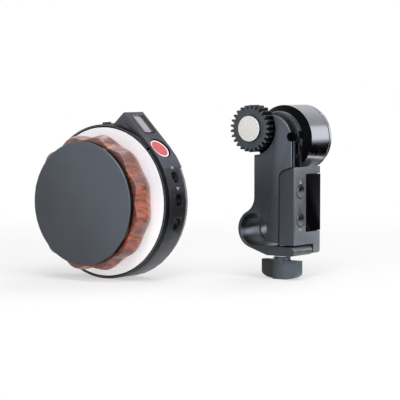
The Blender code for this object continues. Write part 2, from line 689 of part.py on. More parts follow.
def add_bearing_boss(body):
    outer = BEARING_RADIUS + SEAT_GAP + BEARING_BOSS_WALL
    boss_back = CAVITY_FRONT + SEAT_GAP + BEARING_DEPTH + SEAT_GAP
    join(body, rod(outer, HOUSING_FRONT + SEAT_GAP, boss_back, MIDDLE_SEGMENTS))
    cut(body, rod(BEARING_RADIUS + SEAT_GAP, CAVITY_FRONT, boss_back + OVERRUN, MIDDLE_SEGMENTS))
    hole = SPINDLE_RADIUS + SEAT_GAP
    cut(body, rod(hole, HOUSING_FRONT - OVERRUN, CAVITY_FRONT + OVERRUN, SMALL_SEGMENTS))


def cut_seam(body, facet):
    """The fine line on the hood's front face, parallel to the facet."""
    outer = RING_RADIUS - HOOD_SEAM_INSET
    low = (-HOOD_SEAM_TO, HOUSING_FRONT - OVERRUN, outer - HOOD_SEAM_WIDTH)
    high = (-HOOD_SEAM_FROM, HOUSING_FRONT + HOOD_SEAM_DEPTH, outer)
    cut(body, block(low, high), facet)


def key_seat(body, frame, cap_radius, sink, cap_height, stem_radius, pad):
    """A blind pocket for a key, with a pad behind it inside the rim, and a hole for the key's stem."""
    pad_radius, pad_inner = pad
    pocket_floor = RING_RADIUS - sink - cap_height - KEY_TRAVEL - SEAT_GAP
    join(body, raised(rod(pad_radius, pad_inner, CAVITY_RADIUS + SEAT_GAP, SMALL_SEGMENTS)), frame)
    cut(body, raised(rod(cap_radius + SEAT_GAP, pocket_floor, RING_RADIUS + OVERRUN, SMALL_SEGMENTS)), frame)
    hole = stem_radius + SEAT_GAP
    cut(body, raised(rod(hole, pad_inner - OVERRUN, pocket_floor + OVERRUN, TINY_SEGMENTS)), frame)


def radial_frame(name, wheel, angle, depth=KEY_LINE):
    """A frame whose Z points out through the rim at this angle."""
    return axis_empty(name, wheel, (0, depth, 0), math.pi / 2 - angle)


def rim_keys(body, wheel):
    """Three round keys sunk in the rim. Each slides towards the wheel's axis."""
    for name, degrees in KEY_ANGLES.items():
        frame = radial_frame(name + "_axis", wheel, math.radians(degrees))
        pad = (KEY_PAD_RADIUS, KEY_PAD_INNER)
        key_seat(body, frame, KEY_RADIUS, KEY_SINK, KEY_CAP_HEIGHT, KEY_STEM_RADIUS, pad)
        top = RING_RADIUS - KEY_SINK
        bottom = top - KEY_CAP_HEIGHT
        stem_end = FLEX_OUTER + KEY_TRAVEL + SEAT_GAP
        profile = [
            (0, top - KEY_DISH),
            (KEY_RADIUS - KEY_DISH_EDGE, top),
            (KEY_RADIUS, top - KEY_DISH),
            (KEY_RADIUS, bottom),
            (KEY_STEM_RADIUS, bottom),
            (KEY_STEM_RADIUS, stem_end),
            (0, stem_end),
        ]
        solid(raised(turned(profile, SMALL_SEGMENTS)), name, frame, BLACK_PLASTIC)


def record_key(body, wheel):
    """The large red key with its white rim."""
    frame = radial_frame("record_axis", wheel, RECORD_ANGLE, RECORD_LINE)
    pad = (RECORD_PAD_RADIUS, RECORD_PAD_INNER)
    key_seat(body, frame, RECORD_RADIUS, RECORD_SINK, RECORD_CAP_HEIGHT, RECORD_STEM_RADIUS, pad)
    top = RING_RADIUS - RECORD_SINK
    bottom = top - RECORD_CAP_HEIGHT
    rim_foot = top - RECORD_RIM_HEIGHT
    inner = RECORD_RADIUS - RECORD_RIM
    stem_end = DISPLAY_BOARD_OUTER + KEY_TRAVEL + SEAT_GAP
    profile = [
        (0, top),
        (inner - SEAT_GAP, top),
        (inner - SEAT_GAP, rim_foot - SEAT_GAP),
        (RECORD_RADIUS, rim_foot - SEAT_GAP),
        (RECORD_RADIUS, bottom),
        (RECORD_STEM_RADIUS, bottom),
        (RECORD_STEM_RADIUS, stem_end),
        (0, stem_end),
    ]
    solid(raised(turned(profile, MIDDLE_SEGMENTS)), "record_button", frame, RED_PLASTIC)
    rim = ring(inner, RECORD_RADIUS, rim_foot, top, MIDDLE_SEGMENTS)
    solid(raised(rim), "record_button_rim", frame, WHITE_PLASTIC)


def display(body, wheel):
    """The window in the facet, with the display and the record switch on one board behind it."""
    facet = radial_frame("facet_frame", wheel, FACET_ANGLE)
    cut_seam(body, radial_frame("seam_frame", wheel, FACET_ANGLE, 0))
    centre = (-WINDOW_ALONG, 0)
    pocket = rounded_rectangle(
        centre, WINDOW_LENGTH + 2 * SEAT_GAP, WINDOW_WIDTH + 2 * SEAT_GAP, WINDOW_CORNER + SEAT_GAP
    )
    floor = RING_RADIUS - WINDOW_THICKNESS - SEAT_GAP
    cut(body, upright(pocket, floor, RING_RADIUS + OVERRUN), facet)
    sight = rounded_rectangle(
        centre, WINDOW_LENGTH - 2 * WINDOW_LEDGE, WINDOW_WIDTH - 2 * WINDOW_LEDGE, WINDOW_CORNER
    )
    cut(body, upright(sight, CAVITY_RADIUS - OVERRUN, floor + OVERRUN), facet)
    pane = rounded_rectangle(centre, WINDOW_LENGTH, WINDOW_WIDTH, WINDOW_CORNER)
    solid(upright(pane, floor + SEAT_GAP, RING_RADIUS), "display_window", facet, SMOKED_GLASS)
    half_length = DISPLAY_BOARD_LENGTH / 2
    inner = DISPLAY_BOARD_OUTER - BOARD_THICKNESS
    low = (-DISPLAY_BOARD_SHIFT - half_length, -DISPLAY_BOARD_WIDTH / 2, inner)
    high = (-DISPLAY_BOARD_SHIFT + half_length, DISPLAY_BOARD_WIDTH / 2, DISPLAY_BOARD_OUTER)
    board = solid(block(low, high), "display_board", facet, CIRCUIT_BOARD)
    reach_x = WINDOW_LENGTH / 2 - DISPLAY_BLOCK_MARGIN
    reach_y = WINDOW_WIDTH / 2 - DISPLAY_BLOCK_MARGIN
    low = (-WINDOW_ALONG - reach_x, -reach_y, inner + SEAT_GAP)
    high = (-WINDOW_ALONG + reach_x, reach_y, DISPLAY_BOARD_OUTER + DISPLAY_BLOCK_HEIGHT)
    join(board, block(low, high), facet)


def key_flex(body, wheel):
    """The curved circuit strip that carries the rim keys' switches, held by a rib at each end."""
    low = FLEX_OUTER - FLEX_THICKNESS
    outer = arc((0, 0), FLEX_OUTER, FLEX_FROM, FLEX_TO, SMALL_SEGMENTS)
    inner = arc((0, 0), low, FLEX_TO, FLEX_FROM, SMALL_SEGMENTS)
    front = KEY_LINE - FLEX_WIDTH / 2
    solid(prism(outer + inner, front, front + FLEX_WIDTH), "key_circuit", wheel, CIRCUIT_BOARD)
    reach = RIB_WIDTH / 2 + SEAT_GAP
    for angle, side in ((FLEX_FROM, -1), (FLEX_TO, 1)):
        frame = radial_frame("key_rib_axis", wheel, angle + side * reach / FLEX_OUTER, 0)
        low_corner = (-RIB_WIDTH / 2, HOUSING_FRONT + SEAT_GAP, low - SEAT_GAP)
        high_corner = (RIB_WIDTH / 2, KEY_LINE, CAVITY_RADIUS + SEAT_GAP)
        join(body, block(low_corner, high_corner), frame)


def charging_port(body, wheel):
    """The metal socket behind the rim and the rubber flap over it. The flap hinges at its back end."""
    frame = radial_frame("port_frame", wheel, PORT_ANGLE, PORT_CENTRE)
    floor = RING_RADIUS - FLAP_SINK - SEAT_GAP
    half_length = FLAP_LENGTH / 2 + SEAT_GAP
    half_width = FLAP_WIDTH / 2 + SEAT_GAP
    pad_low = (-half_width - PORT_WALL, -half_length, floor - PORT_PAD_THICKNESS - SEAT_GAP)
    pad_high = (half_width + PORT_WALL, half_length - PORT_WALL, CAVITY_RADIUS + SEAT_GAP)
    join(body, block(pad_low, pad_high), frame)
    top = RING_RADIUS + OVERRUN
    cut(body, block((-half_width, -half_length, floor), (half_width, half_length, top)), frame)
    shell_x = PORT_WIDTH / 2
    shell_y = PORT_LENGTH / 2
    room_low = (-shell_x - SEAT_GAP, -shell_y - SEAT_GAP, CAVITY_RADIUS - PORT_DEPTH)
    room_high = (shell_x + SEAT_GAP, shell_y + SEAT_GAP, floor + OVERRUN)
    cut(body, block(room_low, room_high), frame)
    shell_top = floor - SEAT_GAP
    shell_low = (-shell_x, -shell_y, shell_top - PORT_DEPTH)
    port = solid(block(shell_low, (shell_x, shell_y, shell_top)), "charging_socket", frame, STEEL)
    mouth_low = (-shell_x + PORT_WALL, -shell_y + PORT_WALL, shell_top - PORT_DEPTH + PORT_WALL)
    mouth_high = (shell_x - PORT_WALL, shell_y - PORT_WALL, shell_top + OVERRUN)
    cut(port, block(mouth_low, mouth_high), frame)
    flap_axis = axis_empty("port_flap_axis", frame, flap_axis_place())
    half = FLAP_THICKNESS / 2
    front = -FLAP_LENGTH + half
    lip_back = front + FLAP_LIP_LENGTH
    outline = [(front, -half), (front, half + FLAP_LIP_HEIGHT), (lip_back, half + FLAP_LIP_HEIGHT)]
    outline += [(lip_back + FLAP_LIP_HEIGHT, half)]
    outline += list(reversed(arc((0, 0), half, -math.pi / 2, math.pi / 2, 2 * CORNER_STEPS)))
    flap = prism(outline, -FLAP_WIDTH / 2, FLAP_WIDTH / 2)
    bmesh.ops.rotate(flap, verts=flap.verts, cent=(0, 0, 0), matrix=Matrix.Rotation(math.pi / 2, 3, "Z"))
    solid(flap, "port_flap", flap_axis, RUBBER)


def flap_axis_place():
    """The flap's hinge line, in the port's frame."""
    half = FLAP_THICKNESS / 2
    return (0, FLAP_LENGTH / 2 - half, RING_RADIUS - FLAP_SINK + half)


def front_ring(wheel):
    inner = RING_RADIUS - RING_LIP
    foot = RING_RADIUS - RING_FOOT_INSET
    profile = [
        (inner, 0),
        (RING_RADIUS - RING_EDGE, 0),
        (RING_RADIUS, RING_EDGE),
        (RING_RADIUS, RING_DEPTH),
        (foot, RING_DEPTH),
        (foot, RING_DEPTH + RING_FOOT),
        (inner, RING_DEPTH + RING_FOOT),
    ]
    made = solid(turned(profile, LARGE_SEGMENTS), "front_ring", wheel, BLACK_METAL)
    frame = radial_frame("index_frame", wheel, INDEX_ANGLE, 0)
    low = (-INDEX_WIDTH / 2, -OVERRUN, RING_RADIUS - INDEX_DEPTH)
    high = (INDEX_WIDTH / 2, RING_DEPTH, RING_RADIUS + OVERRUN)
    cut(made, block(low, high), frame)


def back_cover(wheel):
    """A satin dish that closes the housing, with a threaded insert in its middle."""
    seat = HOUSING_BACK + SEAT_GAP
    inner_face = COVER_BACK - COVER_SKIN
    spigot_outer = RECORD_PAD_INNER - SEAT_GAP
    spigot_inner = spigot_outer - COVER_SPIGOT_WALL
    insert_room = INSERT_RADIUS + SEAT_GAP
    boss = insert_room + INSERT_BOSS_WALL
    insert_front = COVER_BACK - INSERT_DEPTH
    profile = [
        (insert_room, COVER_BACK),
        (insert_room, insert_front),
        (boss, insert_front),
        (boss, inner_face),
        (spigot_inner, inner_face),
        (spigot_inner, seat - COVER_SPIGOT),
        (spigot_outer, seat - COVER_SPIGOT),
        (spigot_outer, seat),
        (COVER_RADIUS, seat),
    ]
    edge_middle = (COVER_RADIUS - COVER_EDGE, COVER_BACK - COVER_EDGE)
    profile += arc(edge_middle, COVER_EDGE, 0, math.pi / 2, CORNER_STEPS)
    cover = solid(turned(profile, LARGE_SEGMENTS), "back_cover", wheel, SILVER)
    head_seat = COVER_BACK - COVER_SCREW_HEAD_HEIGHT - SEAT_GAP
    for number, angle in enumerate(COVER_SCREW_ANGLES, 1):
        centre = polar(SCREW_CIRCLE, angle)
        head_room = COVER_SCREW_HEAD_RADIUS + SEAT_GAP
        boss_front = COVER_BOSS_BACK + SEAT_GAP
        join(cover, rod(COVER_BOSS_RADIUS, boss_front, inner_face + SEAT_GAP, TINY_SEGMENTS, centre))
        hole = COVER_SCREW_RADIUS + SEAT_GAP
        cut(cover, rod(head_room, head_seat, COVER_BACK + OVERRUN, TINY_SEGMENTS, centre))
        cut(cover, rod(hole, COVER_BOSS_BACK - OVERRUN, head_seat + OVERRUN, TINY_SEGMENTS, centre))
        sizes = (COVER_SCREW_HEAD_RADIUS, COVER_SCREW_HEAD_HEIGHT, COVER_SCREW_RADIUS, COVER_SCREW_LENGTH)
        name = f"back_cover_screw_{number}"
        hex_head_screw(name, wheel, centre, head_seat + SEAT_GAP, 1, sizes, STEEL)
    insert = ring(INSERT_BORE, INSERT_RADIUS, insert_front, COVER_BACK - SEAT_GAP, SMALL_SEGMENTS)
    solid(insert, "mounting_insert", wheel, BRONZE)


def wheel_electronics(wheel):
    cell_front = CAVITY_FRONT + SEAT_GAP
    cell_back = cell_front + BATTERY_THICKNESS
    outline = rounded_rectangle((0, BATTERY_CENTRE_Z), BATTERY_WIDTH, BATTERY_HEIGHT, BATTERY_CORNER)
    solid(prism(outline, cell_front, cell_back), "wheel_battery", wheel, CELL_WRAP)
    board_front = main_board_front()
    board = rod(MAIN_BOARD_RADIUS, board_front, board_front + BOARD_THICKNESS, MIDDLE_SEGMENTS)
    solid(board, "main_board", wheel, CIRCUIT_BOARD)
    half = CHIP_SIZE / 2
    chip_back = board_front - SEAT_GAP
    chip = block((-half, chip_back - CHIP_HEIGHT, -half), (half, chip_back, half))
    solid(chip, "encoder_chip", wheel, BLACK_PLASTIC)


def main_board_front():
    return SPINDLE_BACK + SEAT_GAP + CHIP_HEIGHT + SEAT_GAP


def turning_wheel(wheel):
    """Everything that turns with the knob, on one spindle."""
    spindle(wheel)
    disc_hole = HUB_NOSE_RADIUS + SEAT_GAP
    disc_back = DISC_THICKNESS - DISC_FRONT
    disc = ring(disc_hole, DISC_RADIUS, -DISC_FRONT, disc_back, LARGE_SEGMENTS)
    solid(disc, "marking_disc", wheel, WHITE_PLASTIC)
    wooden_grip(wheel)
    cap_back = -CAP_FRONT + CAP_THICKNESS
    profile = [
        (0, -CAP_FRONT),
        (CAP_RADIUS - CAP_EDGE, -CAP_FRONT),
        (CAP_RADIUS, -CAP_FRONT + CAP_EDGE),
        (CAP_RADIUS, cap_back),
        (CAP_SPIGOT_RADIUS, cap_back),
        (CAP_SPIGOT_RADIUS, cap_back + CAP_SPIGOT_DEPTH),
        (0, cap_back + CAP_SPIGOT_DEPTH),
    ]
    solid(turned(profile, LARGE_SEGMENTS), "knob_cap", wheel, CHARCOAL)
    sizes = (GRIP_SCREW_HEAD_RADIUS, GRIP_SCREW_HEAD_HEIGHT, GRIP_SCREW_RADIUS, GRIP_SCREW_GRIP)
    seat = grip_floor_depth() - SEAT_GAP
    hex_head_screw("grip_screw", wheel, (0, 0), seat, -1, sizes, STEEL)
    magnet_back = SPINDLE_BACK
    magnet = rod(MAGNET_RADIUS, magnet_back - MAGNET_THICKNESS, magnet_back, SMALL_SEGMENTS)
    solid(magnet, "encoder_magnet", wheel, STEEL)


def grip_floor_depth():
    """The depth of the bottom of the grip's counterbore, on which the grip screw's head bears."""
    return -CAP_FRONT + CAP_THICKNESS + CAP_SPIGOT_DEPTH + SEAT_GAP + GRIP_SCREW_HEAD_HEIGHT + 2 * SEAT_GAP


def spindle(wheel):
    flange_front = DISC_THICKNESS - DISC_FRONT + SEAT_GAP
    flange_back = HOUSING_FRONT - SEAT_GAP
    nose_front = flange_front - HUB_NOSE_LENGTH
    clip_front = clip_depth()
    groove_radius = SPINDLE_RADIUS - CLIP_GROOVE_DEPTH
    magnet_room = MAGNET_RADIUS + SEAT_GAP
    magnet_floor = SPINDLE_BACK - MAGNET_THICKNESS - SEAT_GAP
    screw_room = GRIP_SCREW_RADIUS + SEAT_GAP
    screw_floor = grip_floor_depth() + GRIP_SCREW_GRIP + SEAT_GAP
    profile = [
        (0, screw_floor),
        (screw_room, screw_floor),
        (screw_room, nose_front),
        (HUB_NOSE_RADIUS, nose_front),
        (HUB_NOSE_RADIUS, flange_front),
        (HUB_FLANGE_RADIUS, flange_front),
        (HUB_FLANGE_RADIUS, flange_back),
        (SPINDLE_RADIUS, flange_back),
        (SPINDLE_RADIUS, clip_front),
        (groove_radius, clip_front),
        (groove_radius, clip_front + CLIP_THICKNESS + SEAT_GAP),
        (SPINDLE_RADIUS, clip_front + CLIP_THICKNESS + SEAT_GAP),
        (SPINDLE_RADIUS, SPINDLE_BACK),
        (magnet_room, SPINDLE_BACK),
        (magnet_room, magnet_floor),
        (0, magnet_floor),
    ]
    solid(turned(profile, MIDDLE_SEGMENTS), "wheel_spindle", wheel, SILVER)


def clip_depth():
    """The front of the retaining clip's groove, just behind the bearing."""
    return CAVITY_FRONT + SEAT_GAP + BEARING_DEPTH + SEAT_GAP


def wooden_grip(wheel):
    """A turned barrel whose lobes fade out at both ends, lofted through its sections."""
    front = -CAP_FRONT + CAP_THICKNESS + SEAT_GAP
    back = -GRIP_BACK
    shape = bmesh.new()
    sections = []
    for step in range(GRIP_SECTIONS):
        along = step / (GRIP_SECTIONS - 1)
        sections.append(grip_section(shape, front + (back - front) * along, along))
    for first, second in zip(sections, sections[1:]):
        for index in range(GRIP_SEGMENTS):
            following = (index + 1) % GRIP_SEGMENTS
            shape.faces.new((first[index], first[following], second[following], second[index]))
    shape.faces.new(sections[0])
    shape.faces.new(sections[-1])
    grip = solid(shape, "wooden_grip", wheel, ROSEWOOD)
    recess = CAP_SPIGOT_RADIUS + SEAT_GAP
    recess_floor = -CAP_FRONT + CAP_THICKNESS + CAP_SPIGOT_DEPTH + SEAT_GAP
    cut(grip, rod(recess, front - OVERRUN, recess_floor, LARGE_SEGMENTS))
    head_room = GRIP_SCREW_HEAD_RADIUS + SEAT_GAP
    cut(grip, rod(head_room, recess_floor - OVERRUN, grip_floor_depth(), SMALL_SEGMENTS))
    screw_room = GRIP_SCREW_RADIUS + SEAT_GAP
    cut(grip, rod(screw_room, grip_floor_depth() - OVERRUN, back, TINY_SEGMENTS))
    nose_front = DISC_THICKNESS - DISC_FRONT + SEAT_GAP - HUB_NOSE_LENGTH
    nose_room = HUB_NOSE_RADIUS + SEAT_GAP
    cut(grip, rod(nose_room, nose_front - SEAT_GAP, back + OVERRUN, SMALL_SEGMENTS))


def grip_section(shape, depth, along):
    """One ring of points. The barrel swells to its belly, and the lobes are deepest there."""
    if along < GRIP_BELLY_SHARE:
        swell = math.sin(along / GRIP_BELLY_SHARE * math.pi / 2)
        radius = GRIP_FRONT_RADIUS + (GRIP_PEAK_RADIUS - GRIP_FRONT_RADIUS) * swell
    else:
        past = (along - GRIP_BELLY_SHARE) / (1 - GRIP_BELLY_SHARE)
        swell = 1.0
        radius = GRIP_PEAK_RADIUS - (GRIP_PEAK_RADIUS - GRIP_BACK_RADIUS) * past**GRIP_TAPER_POWER
    points = []
    for index in range(GRIP_SEGMENTS):
        turn = math.tau * index / GRIP_SEGMENTS
        wave = (1 + math.cos(GRIP_LOBES * (turn - GRIP_LOBE_TURN))) / 2
        lobed = radius - GRIP_LOBE_DEPTH * swell * (1 - wave)
        points.append(shape.verts.new((lobed * math.cos(turn), depth, lobed * math.sin(turn))))
    return points


def wheel_bearing(wheel):
    front = CAVITY_FRONT + SEAT_GAP
    back = front + BEARING_DEPTH
    inner = SPINDLE_RADIUS + SEAT_GAP
    middle = (inner + BEARING_RADIUS) / 2
    half_groove = (BEARING_RADIUS - inner) * BEARING_GROOVE_SHARE / 2
    profile = [
        (inner, front),
        (middle - half_groove, front),
        (middle - half_groove, front + BEARING_GROOVE),
        (middle + half_groove, front + BEARING_GROOVE),
        (middle + half_groove, front),
        (BEARING_RADIUS, front),
        (BEARING_RADIUS, back),
        (inner, back),
    ]
    solid(turned(profile, SMALL_SEGMENTS), "spindle_bearing", wheel, STEEL)
    clip_front = clip_depth() + SEAT_GAP / 2
    clip_inner = SPINDLE_RADIUS - CLIP_GROOVE_DEPTH + SEAT_GAP
    clip = ring(clip_inner, clip_inner + CLIP_RADIAL, clip_front, clip_front + CLIP_THICKNESS, SMALL_SEGMENTS)
    made = solid(clip, "spindle_clip", wheel, STEEL)
    half = CLIP_MOUTH / 2
    low = (-half, clip_front - OVERRUN, -clip_inner - CLIP_RADIAL - OVERRUN)
    cut(made, block(low, (half, clip_front + CLIP_THICKNESS + OVERRUN, 0)))


def seam(shift=0.0):
    """The line between body and side cover, from the seam's top at the left to the right edge."""
    return [
        (SEAM_X + shift, -SEAM_TOP - shift),
        (SEAM_CORNER_X + shift / 2, -SEAM_CORNER_Z - shift),
        (SIDE_RIGHT, -SEAM_RIGHT_Z - shift),
    ]


def clamp_ring_blend():
    """The circle that blends the plate's left edge into the clamp's outer ring, touching both."""
    outer = ROD_BORE_RADIUS + CLAMP_WALL
    x = -PLATE_LEFT - CLAMP_BLEND_RADIUS
    across = x + ROD_BORE_X
    rise = math.sqrt((outer + CLAMP_BLEND_RADIUS) ** 2 - across**2)
    z = -ROD_BORE_Z + rise
    return (x, z), math.atan2(rise, across)


def body_outline():
    """Plate, neck and closed clamp ring from the front, anticlockwise from the seam's lower end."""
    outer = ROD_BORE_RADIUS + CLAMP_WALL
    bore = (-ROD_BORE_X, -ROD_BORE_Z)
    blend, touch = clamp_ring_blend()
    corner, tangent = jaw_tangent()
    neck_right = math.sqrt(NECK_RADIUS**2 - NOTCH_Z**2)
    points = seam()[:-1]
    points += [(PLATE_RIGHT, -SEAM_RIGHT_Z), (PLATE_RIGHT, NOTCH_Z), (neck_right, NOTCH_Z)]
    left_top = math.pi - math.acos(PLATE_LEFT / NECK_RADIUS)
    points += arc((0, 0), NECK_RADIUS, math.atan2(NOTCH_Z, neck_right), left_top, SMALL_SEGMENTS)[1:]
    points += list(reversed(arc(blend, CLAMP_BLEND_RADIUS, touch - math.pi, 0, 2 * CORNER_STEPS)))
    points += arc(bore, outer, touch, tangent, SMALL_SEGMENTS)[1:]
    points += [corner, (SEAM_X, corner[1])]
    return points


def jaw_room():
    """The outline of the room for the jaw, below the bore and left of the split."""
    x, z = -ROD_BORE_X, -ROD_BORE_Z
    reach = ROD_BORE_RADIUS + CLAMP_WALL + OVERRUN
    split_x, split_z = polar(reach, CLAMP_SPLIT_ANGLE)
    bottom = -FOOT_BOTTOM - JAW_ARM_THICKNESS
    right = SEAM_X + OVERRUN
    return [
        (x, z),
        (x + split_x, z + split_z),
        (x - reach - OVERRUN, z + split_z),
        (x - reach - OVERRUN, bottom),
        (right, bottom),
        (right, -BODY_BOTTOM),
        (x, -BODY_BOTTOM),
    ]


def jaw_tangent():
    """The corner under the jaw's arm, and where a line from it touches the clamp's outer ring."""
    outer = ROD_BORE_RADIUS + CLAMP_WALL
    bottom = -ROD_BORE_Z - ROD_BORE_RADIUS - JAW_ARM_THICKNESS
    across = -JAW_CORNER_X + ROD_BORE_X
    rise = bottom + ROD_BORE_Z
    span = math.hypot(across, rise)
    towards = math.atan2(rise, across)
    return (-JAW_CORNER_X, bottom), math.tau + towards - math.acos(outer / span)


def motor_body(motor):
    bore = (-ROD_BORE_X, -ROD_BORE_Z)
    gear_axis = (GEAR_X, GEAR_Z)
    body = solid(prism(body_outline(), 0, BODY_DEPTH, PLATE_CHAMFER), "motor_body", motor, GUNMETAL)
    cut(body, prism(jaw_room(), -OVERRUN, JAW_DEPTH + JAW_SPLIT_GAP))
    cut(body, rod(GEAR_RECESS_RADIUS, -OVERRUN, GEAR_RECESS_DEPTH, LARGE_SEGMENTS, gear_axis))
    join(body, rod(OUTPUT_LOBE_RADIUS, GEAR_RECESS_DEPTH, NECK_DEPTH, SMALL_SEGMENTS, gear_axis))
    neck_collar(body)
    saddle = DRUM_RADIUS + SEAT_GAP
    cut(body, rod(saddle, NECK_DEPTH, BODY_DEPTH + OVERRUN, DRUM_SEGMENTS))
    cut(body, rod(ROD_BORE_RADIUS, -OVERRUN, BODY_DEPTH + OVERRUN, LARGE_SEGMENTS, bore))
    bush_room = OUTPUT_BUSH_RADIUS + SEAT_GAP
    cut(body, rod(bush_room, GEAR_RECESS_DEPTH - OVERRUN, NECK_DEPTH + OVERRUN, SMALL_SEGMENTS, gear_axis))
    screw_hole = upright(circle((SCREW_X, SCREW_Y), SCREW_RADIUS + SEAT_GAP, TINY_SEGMENTS), *screw_room())
    cut(body, screw_hole)
    cut(body, rod(NOTCH_RADIUS, -OVERRUN, NOTCH_DEPTH, SMALL_SEGMENTS, (NOTCH_X, NOTCH_Z)))
    edge = (PLATE_RIGHT - EDGE_STEP_WIDTH, -OVERRUN, -SEAM_RIGHT_Z - OVERRUN)
    cut(body, block(edge, (PLATE_RIGHT + OVERRUN, EDGE_STEP_DEPTH, NOTCH_Z)))
    behind_neck = [
        (SEAM_CORNER_X, -SEAM_CORNER_Z - OVERRUN),
        (SIDE_RIGHT, -SEAM_RIGHT_Z - OVERRUN),
        (SIDE_RIGHT + OVERRUN, NOTCH_Z),
        (SEAM_CORNER_X, NOTCH_Z),
    ]
    cut(body, prism(behind_neck, NECK_DEPTH, BODY_DEPTH + OVERRUN))
    power_socket(body, motor)


def neck_collar(body):
    """The tapered collar that leads from the neck to the drum, and the fine groove in front of it."""
    collar = [
        (0, COLLAR_FRONT),
        (NECK_RADIUS + COLLAR_STEP, COLLAR_FRONT),
        (NECK_RADIUS + COLLAR_FLARE, NECK_DEPTH),
        (0, NECK_DEPTH),
    ]
    join(body, turned(collar, LARGE_SEGMENTS))
    groove_back = NECK_GROOVE_FRONT + NECK_GROOVE_WIDTH
    inner = NECK_RADIUS - NECK_GROOVE_DEPTH
    groove = arc((0, 0), NECK_RADIUS + OVERRUN, NECK_GROOVE_FROM, NECK_GROOVE_TO, MIDDLE_SEGMENTS)
    groove += list(reversed(arc((0, 0), inner, NECK_GROOVE_FROM, NECK_GROOVE_TO, MIDDLE_SEGMENTS)))
    cut(body, prism(groove, NECK_GROOVE_FRONT, groove_back))


def screw_room():
    """Bottom and top of the clamp screw's hole in the body."""
    return (-BODY_BOTTOM - OVERRUN, -BODY_BOTTOM + SCREW_BITE + SEAT_GAP)


def power_socket(body, motor):
    """The narrow power socket in the neck's right side."""
    top = -SOCKET_TOP
    low = (PLATE_RIGHT - SOCKET_DEPTH, SOCKET_FRONT, top - SOCKET_HEIGHT)
    high = (PLATE_RIGHT + OVERRUN, SOCKET_FRONT + SOCKET_WIDTH, top)
    cut(body, block(low, high))
    shell_low = [value + SEAT_GAP for value in low]
    shell_high = (PLATE_RIGHT - SEAT_GAP, high[1] - SEAT_GAP, high[2] - SEAT_GAP)
    shell = solid(block(shell_low, shell_high), "power_socket", motor, BLACK_PLASTIC)
    mouth_low = [value + SOCKET_SHELL_WALL for value in shell_low]
    mouth_high = (
        shell_high[0] + OVERRUN,
        shell_high[1] - SOCKET_SHELL_WALL,
        shell_high[2] - SOCKET_SHELL_WALL,
    )
    cut(shell, block(mouth_low, mouth_high))


def side_cover(motor):
    """The right-hand cover: a deep lid round the motor's board, with a foot that carries the jaw's pin."""
    foot_front = JAW_DEPTH + JAW_SPLIT_GAP
    corner = (SIDE_RIGHT - SIDE_FOOT_CORNER, -FOOT_BOTTOM + SIDE_FOOT_CORNER)
    outline = list(reversed(seam(SEAT_GAP))) + [(SEAM_X + SEAT_GAP, -FOOT_BOTTOM)]
    outline += arc(corner, SIDE_FOOT_CORNER, -math.pi / 2, 0, CORNER_STEPS)
    cover = solid(prism(outline, 0, BODY_DEPTH, PLATE_CHAMFER), "side_cover", motor, GUNMETAL)
    below = (SEAM_X - OVERRUN, -OVERRUN, -FOOT_BOTTOM - OVERRUN)
    cut(cover, block(below, (SIDE_RIGHT + OVERRUN, foot_front, -SIDE_BOTTOM)))
    cavity_top = -SEAM_TOP - SIDE_WALL
    low = (SEAM_X - OVERRUN, SIDE_WALL, -SIDE_BOTTOM + SIDE_WALL)
    cut(cover, block(low, (SIDE_RIGHT - SIDE_WALL, BODY_DEPTH - SIDE_WALL, cavity_top)))
    cut(cover, rod(DRUM_RADIUS + SEAT_GAP, NECK_DEPTH, BODY_DEPTH + OVERRUN, DRUM_SEGMENTS))
    pin_room = PIN_RADIUS + SEAT_GAP
    pin_centre = (KNUCKLE_X, knuckle_height())
    cut(cover, rod(pin_room, foot_front - OVERRUN, BODY_DEPTH + OVERRUN, TINY_SEGMENTS, pin_centre))
    status_window(cover, motor)
    for name, height in SIDE_KEY_HEIGHTS.items():
        side_key(cover, motor, name, height)


def status_window(cover, motor):
    low = (SIDE_RIGHT - STATUS_THICKNESS - SEAT_GAP, STATUS_FRONT - SEAT_GAP, -STATUS_BOTTOM - SEAT_GAP)
    high = (SIDE_RIGHT + OVERRUN, BODY_DEPTH + OVERRUN, -STATUS_TOP + SEAT_GAP)
    cut(cover, block(low, high))
    sight_low = (SEAM_X + SIDE_WALL, STATUS_FRONT + STATUS_MARGIN, -STATUS_BOTTOM + STATUS_MARGIN)
    sight_back = BODY_DEPTH - SIDE_WALL - STATUS_MARGIN
    cut(cover, block(sight_low, (SIDE_RIGHT, sight_back, -STATUS_TOP - STATUS_MARGIN - SIDE_WALL)))
    pane_low = (SIDE_RIGHT - STATUS_THICKNESS, STATUS_FRONT, -STATUS_BOTTOM)
    pane_high = (SIDE_RIGHT + STATUS_PROUD, BODY_DEPTH, -STATUS_TOP)
    solid(block(pane_low, pane_high), "status_window", motor, BLACK_GLASS)
    board_outer = MOTOR_BOARD_INNER + MOTOR_BOARD_THICKNESS
    edge = SIDE_WALL + SEAT_GAP
    board_low = (MOTOR_BOARD_INNER, edge, -SIDE_BOTTOM + edge)
    board_high = (board_outer, BODY_DEPTH - edge, -SEAM_TOP - edge)
    board = solid(block(board_low, board_high), "motor_board", motor, CIRCUIT_BOARD)
    block_low = (
        MOTOR_BOARD_INNER + SEAT_GAP,
        STATUS_FRONT + STATUS_BLOCK_MARGIN,
        -STATUS_BOTTOM + STATUS_BLOCK_MARGIN,
    )
    block_high = (
        board_outer + STATUS_BLOCK_HEIGHT,
        BODY_DEPTH - SIDE_WALL - STATUS_BLOCK_MARGIN,
        -STATUS_TOP - STATUS_BLOCK_MARGIN - SIDE_WALL,
    )
    join(board, block(block_low, block_high))


